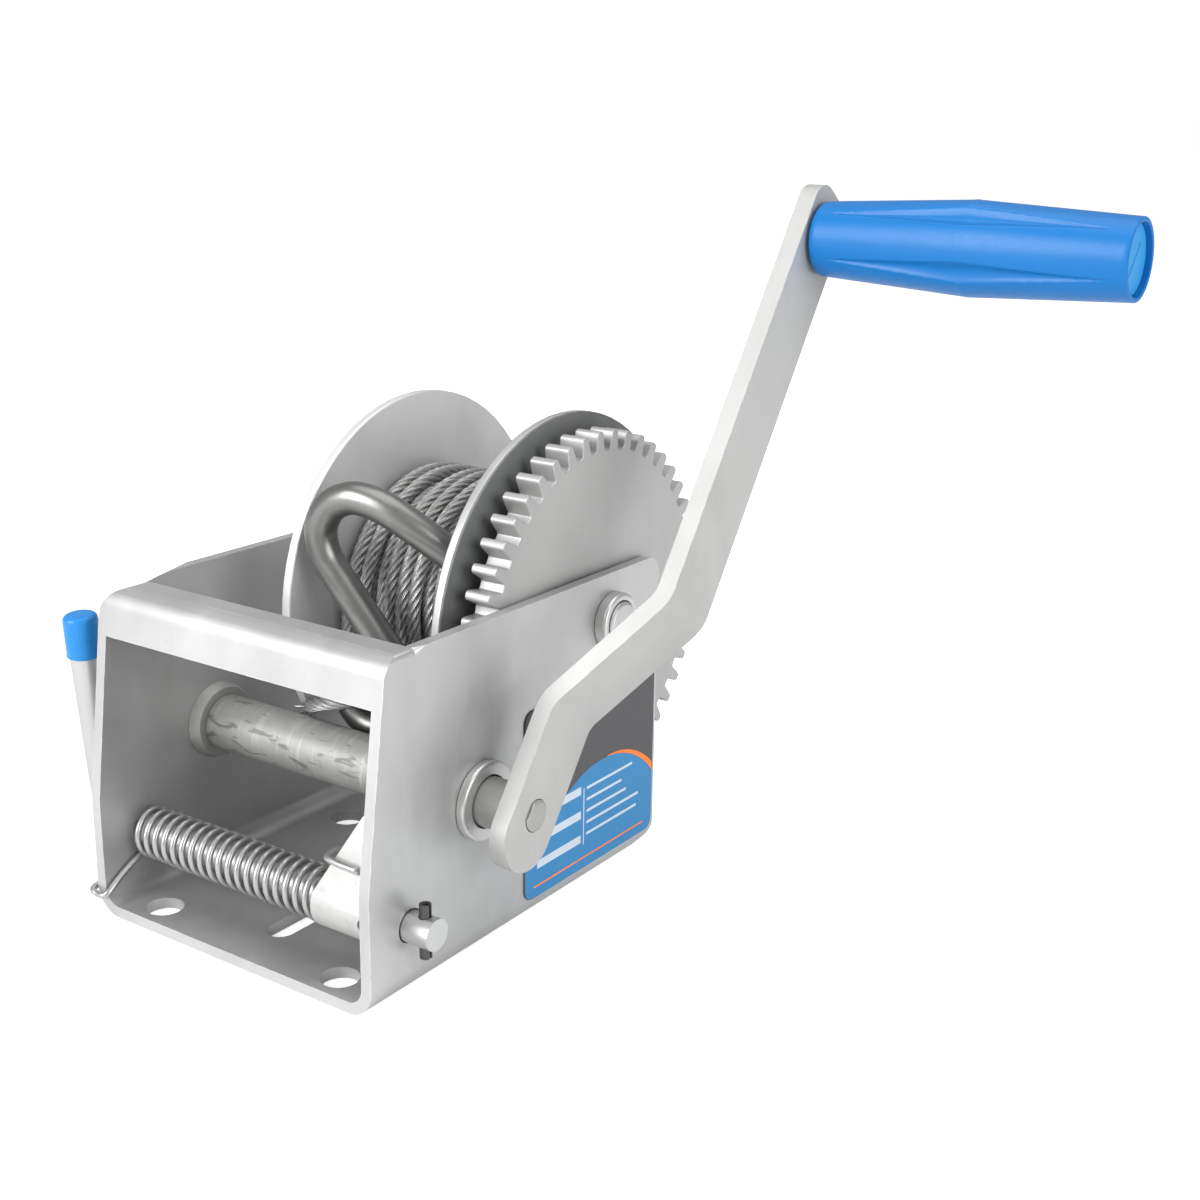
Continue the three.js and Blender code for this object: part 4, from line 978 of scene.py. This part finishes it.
SPRING_WIRE = 0.9 * MM
SPRING_RADIUS = 6.4 * MM
SPRING_TURNS = 19
SPRING_LEFT = -45.5 * MM
SPRING_RIGHT = 21 * MM
STEPS_PER_COIL = 16
LEFT_LEG = [  # points in mm
    (-51.3, -59.8, 7.3),
    (-51.2, -63.9, 6.5),
    (-48.5, -64.4, 5.9),
    (-45.8, -64.1, 6.3),
    (-45.6, -58, 10.4),
]
RIGHT_LEG = [
    (21.7, -43.2, 15.4),
    (21.75, -39.6, 23.2),
    (24.2, -43.6, 31),
    (25.3, -47.6, 33.4),
    (26.4, -52.3, 33.7),
    (30.1, -53.1, 33.5),
    (38.1, -53.1, 33.2),
]


def pawl_spring():
    """Coil round the pawl bar, hooked round the left wall and across the front of the pawl."""
    coil = []
    steps = SPRING_TURNS * STEPS_PER_COIL
    for k in range(steps + 1):
        share = k / steps
        angle = -math.pi / 2 - 0.35 + share * SPRING_TURNS * 2 * math.pi
        x = SPRING_LEFT + share * (SPRING_RIGHT - SPRING_LEFT)
        y = PAWL_CENTRE.y + SPRING_RADIUS * math.cos(angle)
        coil.append(Vector((x, y, PAWL_CENTRE.z + SPRING_RADIUS * math.sin(angle))))
    legs = [[Vector(p) * MM for p in leg] for leg in (LEFT_LEG, RIGHT_LEG)]
    path = smooth_path([*legs[0], *coil[::2], *legs[1]], 4)
    wire = Shape()
    wire.sweep(path, circle_ring(SPRING_WIRE, 14))
    piece = wire.build("pawl_spring_coil")
    piece.data.materials.append(SPRING_STEEL)
    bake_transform(piece)
    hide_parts("pawl_spring")


HOOK_BEND = [  # x, z and how far behind the hook's own plane, in mm
    (26.9, 98.9, 7.6),
    (21.9, 103.4, 5),
    (16.4, 108, 2.6),
    (10.5, 111.9, 1),
    (5, 113.9, 0.35),
    (-1, 114.3, 0),
    (-7.6, 111.2, 0),
    (-11.5, 104.5, 0),
    (-10.6, 97.2, 0),
    (-6.4, 91, 0),
    (-1.2, 84.3, 0),
    (5, 76.4, 0),
    (10, 69.6, 0),
]
HOOK_EYE = (3.7, 58.8, 9.3)  # x, z and radius of the eye, in mm
EYE_START, EYE_SWEEP, EYE_STEPS = 8, 250, 12  # degrees, degrees, spans
HOOK_ROD = 4.5 * MM
BAR_END = ((0, 0.8), (0.15 * MM, 0.9), (0.4 * MM, 0.97), (0.8 * MM, 1))  # (inset, share of radius)


def hook_point(x, z, back=0):
    """A point of the hook's slightly leaning plane, or behind it."""
    return Vector((x, -11.2 + 0.12 * (x + 11) + 0.05 * (103 - z) + back, z)) * MM


def hook():
    """One bent bar with an eye at its lower end and both ends rounded."""
    points = [hook_point(*knot) for knot in HOOK_BEND]
    x0, z0, radius = HOOK_EYE
    for k in range(EYE_STEPS + 1):
        angle = math.radians(EYE_START - EYE_SWEEP * k / EYE_STEPS)
        x = x0 + radius * math.cos(angle)
        z = z0 + radius * math.sin(angle)
        points.append(hook_point(x, z))
    path = smooth_path(points, 7)
    start, ahead = path[0], (path[1] - path[0]).normalized()
    end, behind = path[-1], (path[-2] - path[-1]).normalized()
    path[1:1] = [start + ahead * inset for inset, _ in BAR_END[1:]]
    path[-1:-1] = [end + behind * inset for inset, _ in reversed(BAR_END[1:])]
    count = len(path)

    def rounded_end(i):
        from_end = min(i, count - 1 - i)
        return BAR_END[from_end][1] if from_end < len(BAR_END) else 1

    bar = Shape()
    bar.sweep(path, circle_ring(HOOK_ROD, 32, rounded_end))
    piece = bar.build("hook_bar")
    finish_piece(piece, "hook", HOOK_STEEL, ["hook"])


# ---------------------------------------------------------------- label


def film(name, loops, lift, material, replaced=()):
    """One printed layer of the label, a thin film lifted off the right wall."""
    thickness = 0.02 * MM
    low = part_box("label")[0][0]
    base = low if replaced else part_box("label")[1][0] + lift
    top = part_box("label")[1][0] if replaced else base + thickness
    edge = 0.1 * MM if replaced else 0.002 * MM
    piece = joined(name, plate(loops, base, top, edge))
    sharp_shading(piece)
    finish_piece(piece, "frame", material, replaced)


LABEL_CORNER = 3.5 * MM
HILL = (35.3, 3.6, 33.8)  # centre y, z and radius of the blue field's round top, in mm
HILL_STEPS = 40
FIELD_FOOT = 17.5  # height of the blue field where it runs out to the left edge
BAND_WIDTH = 1.6
TEXT_BARS = (  # (low y, high y, low z, high z) of the plain bars, in mm
    (4, 24.6, 30, 32.4),
    (4, 24.6, 22.6, 25),
    (4, 24.6, 15.2, 17.6),
    (27.4, 50.5, 30.7, 31.5),
    (27.4, 45, 27.2, 28),
    (27.4, 47.5, 23.7, 24.5),
    (27.4, 54, 20.2, 21),
    (27.4, 53, 16.7, 17.5),
)
RULE_Y = 26
LOW_RULE = (2.6, 57, 9.9, 10.4)


def hill_arc(low_y, high_y, extra=lambda share: 0):
    """Points along the round top of the blue field, pushed outwards by extra mm."""
    y0, z0, radius = HILL
    arc = []
    for k in range(HILL_STEPS + 1):
        y = low_y + (high_y - low_y) * k / HILL_STEPS
        tall = math.sqrt(radius**2 - (y - y0) ** 2)
        push = 1 + extra(k / HILL_STEPS) / radius
        arc.append(((y0 + (y - y0) * push) * MM, (z0 + tall * push) * MM))
    return arc


def bar(low_y, high_y, low_z, high_z):
    return rounded(low_y * MM, low_z * MM, high_y * MM, high_z * MM, 0.18 * MM, 4)


def label():
    """A dark film with a blue field under an orange band, and plain bars in place of print."""
    low, high = (Vector(p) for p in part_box("label"))
    sheet = rounded(low.y, low.z, high.y, high.z, LABEL_CORNER)
    film("label_film", [sheet], 0, FILM_GREY, ["label"])
    inset = 0.15 * MM
    field = rounded(low.y + inset, low.z + inset, high.y - inset, high.z - inset, LABEL_CORNER)
    lower_corners = field[2 * (len(field) // 4) :]
    y0, z0, radius = HILL
    foot_y = y0 - math.sqrt(radius**2 - (FIELD_FOOT - z0) ** 2)
    top = hill_arc(foot_y, high.y / MM - 0.15)
    outline = [*lower_corners, *reversed(top), (low.y + inset, FIELD_FOOT * MM)]
    film("label_field", [outline], 0.02 * MM, FILM_BLUE)
    swell = hill_arc(y0 + 2, high.y / MM - 1.9, lambda share: 0.2 + BAND_WIDTH * share**0.7)
    under = hill_arc(y0 + 2, high.y / MM - 0.3, lambda share: 0.05)
    band = [*under, *reversed(swell)]
    film("label_band", [band], 0.04 * MM, FILM_ORANGE)
    film("label_bars", [bar(*sides) for sides in TEXT_BARS], 0.04 * MM, FILM_WHITE)
    film("label_rule", [bar(RULE_Y - 0.2, RULE_Y + 0.2, 14.2, 31.5)], 0.04 * MM, FILM_WHITE)
    film("label_low_rule", [bar(*LOW_RULE)], 0.04 * MM, FILM_ORANGE)


# ---------------------------------------------------------------- lever cap

LEVER_LEAN = math.radians(5)
CAP_SKIRT = 10.5  # mm that the cap reaches below the bar's end
CAP_CROWN = 1.9  # and above it
CAP_PROFILE = [  # (height over the bar's end, radius) in mm
    (0.2, 0),
    (0.2, 4.35),
    (-10.2, 4.35),
    (-CAP_SKIRT, 4.5),
    (-CAP_SKIRT, 4.9),
    (-10.25, 5.05),
    (-9.6, 5.05),
    (-9.1, 4.92),
    (-6, 4.88),
    (-3, 4.82),
    (-0.2, 4.75),
    (0.7, 4.68),
    (1.25, 4.45),
    (1.6, 4.05),
    (1.8, 3.4),
    (1.88, 2.4),
    (CAP_CROWN, 1.2),
    (CAP_CROWN, 0),
]
SKIRT_START = -6  # mm; below this the cap's cut edge runs up and down
SKIRT_WAVE = 0.11  # share of the skirt's length


def lever_cap():
    """A dipped plastic cap over the top of the release lever, with a rolled lip."""
    low, high = (Vector(p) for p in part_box("lever_cap"))
    upright = Vector((0, -math.sin(LEVER_LEAN), math.cos(LEVER_LEAN)))
    end = (low + high) / 2 + upright * 0.5 * (CAP_SKIRT - CAP_CROWN) * MM
    shape = Shape()
    profile = [(height * MM, max(radius, 0.001) * MM) for height, radius in CAP_PROFILE]
    shape.lathe(profile, Vector((0, 0, 0)), 48)
    piece = shape.build("lever_cap_dipped")
    merged(piece.data, 1e-5)
    start = SKIRT_START * MM
    for vertex in piece.data.vertices:
        if vertex.co.x < start:
            angle = math.atan2(vertex.co.z, vertex.co.y)
            wave = 0.6 * math.cos(angle - 2.9) + 0.4 * math.cos(2 * angle + 0.7) - 0.6
            vertex.co.x += (start - vertex.co.x) * -SKIRT_WAVE * wave
    side = Vector((1, 0, 0))
    turn = Matrix((upright, side, upright.cross(side))).transposed().to_4x4()
    piece.data.transform(Matrix.Translation(end) @ turn)
    sharp_shading(piece, 50)
    finish_piece(piece, "pawl", LEVER_BLUE, ["lever_cap"])


# ---------------------------------------------------------------- stage

FLOOR_SIZE = 30  # metres from the middle to each edge
FLOOR_GLOW = 0.62  # how bright the floor reads where nothing lights it
ROOM_LIGHT = 0.42  # the room's brightness as the object feels it
ROOM_SEEN = 1.1  # and as the lens sees it


def only_seen(nodes):
    """1 for what is seen directly, 0 for light that reaches the object."""
    return nodes.new("ShaderNodeLightPath").outputs["Is Camera Ray"]


def add_floor():
    corners = [(-1, -1), (1, -1), (1, 1), (-1, 1)]
    mesh = bpy.data.meshes.new("floor")
    points = [(FLOOR_SIZE * x, FLOOR_SIZE * y, 0) for x, y in corners]
    mesh.from_pydata(points, [], [(0, 1, 2, 3)])
    floor = add_object("floor", mesh)
    floor.location.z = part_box("frame")[0][2] - 0.02 * MM
    paint = Finish("floor_paint", (0.9, 0.9, 0.9), 0.9, 0.0)
    paint.set("Emission Color", paint.plain((1, 1, 1)))
    glow = paint.calculated("MULTIPLY", only_seen(paint.nodes), FLOOR_GLOW)
    paint.set("Emission Strength", glow)
    floor.data.materials.append(paint.material)


def add_area(name, place, target, size, power):
    data = bpy.data.lights.new(name, "AREA")
    data.shape = "RECTANGLE"
    data.size, data.size_y = size
    data.energy = power
    lamp = add_object(name, data)
    lamp.location = place
    lamp.rotation_euler = (Vector(target) - Vector(place)).to_track_quat("-Z", "Y").to_euler()


def add_world():
    """A white room that lights the object more softly than it shows behind it."""
    world = bpy.data.worlds.new("world")
    world.use_nodes = True
    bpy.context.scene.world = world
    nodes, links = world.node_tree.nodes, world.node_tree.links
    backdrop = nodes["Background"]
    backdrop.inputs["Color"].default_value = (1, 1, 1, 1)
    strength = nodes.new("ShaderNodeMapRange")
    links.new(only_seen(nodes), strength.inputs["Value"])
    strength.inputs["To Min"].default_value = ROOM_LIGHT
    strength.inputs["To Max"].default_value = ROOM_SEEN
    links.new(strength.outputs["Result"], backdrop.inputs["Strength"])


def add_lights():
    middle = (0, 0, 0.06)
    add_area("top_light", (0.05, 0.1, 1.5), middle, (1.3, 1.3), 9)
    add_area("front_light", (-0.5, -1.4, 0.8), middle, (0.9, 1.1), 28)
    add_area("right_light", (1.45, -0.2, 0.55), middle, (0.9, 0.9), 13)
    scene = bpy.context.scene
    scene.view_settings.view_transform = "Standard"
    scene.view_settings.look = "None"


PLAIN_PIECES = {
    # node: (material, edge radius in mm)
    "left_crank_bush": (BUSH_STEEL, 0.25),
    # the right wall's bushes take the lighter copy, painted light
    "right_crank_bush": (BRIGHT_BUSH, 0.45),
    "left_drum_bush": (BUSH_STEEL, 0.25),
    "right_drum_bush": (BRIGHT_BUSH, 0.45),
    "drum_axle": (ZINC, 0.15),
    "axle_washer": (ZINC, 0.2),
    "axle_clip": (DARK_STEEL, 0.15),
    "drum_sleeve": (ZINC, 0.3),
    "drum_barrel": (DRUM_METAL, 0.2),
    # lighter drum metal with painted light on the left flange, dark painted shade on the right one
    "left_flange": (DRUM_METAL, 0.3),
    "right_flange": (SHADED_METAL, 0.3),
    "anchor_plate": (ZINC, 0.4),
    "anchor_bolt": (ZINC, 0.2),
    "anchor_nut": (ZINC, 0.3),
    "crank_shaft": (SHAFT_STEEL, 0.25),
    "pinion": (PAWL_ZINC, 0.3),
    "pinion_key": (DARK_STEEL, 0.2),
    "crank_washer": (ZINC, 0.2),
    "crank_clip": (DARK_STEEL, 0.15),
    "crank_arm": (ARM_METAL, 0.45),
    "grip_spindle": (ZINC, 0.25),
    "spindle_washer": (ZINC, 0.2),
    "pawl_lever": (LEVER_ZINC, 0.7),
    "pawl": (PAWL_ZINC, 0.5),
    "pawl_pin": (DARK_STEEL, 0.12),
    "end_roll_pin": (DARK_STEEL, 0.12),
}

refined("frame", GALVANISED, 0.4 * MM, angle=50)
for node_name, (look, edge_mm) in PLAIN_PIECES.items():
    refined(node_name, look, edge_mm * MM)
# The right flange's rim gets the frame's finish, without the painted shade on its faces.
brighten_rim(bpy.data.objects["right_flange_look"], GALVANISED)
rope_winding()
anchor_rope()
drum_gear()
grip()
grip_cap()
pawl_spring()
hook()
label()
lever_cap()
add_floor()
add_world()
add_lights()
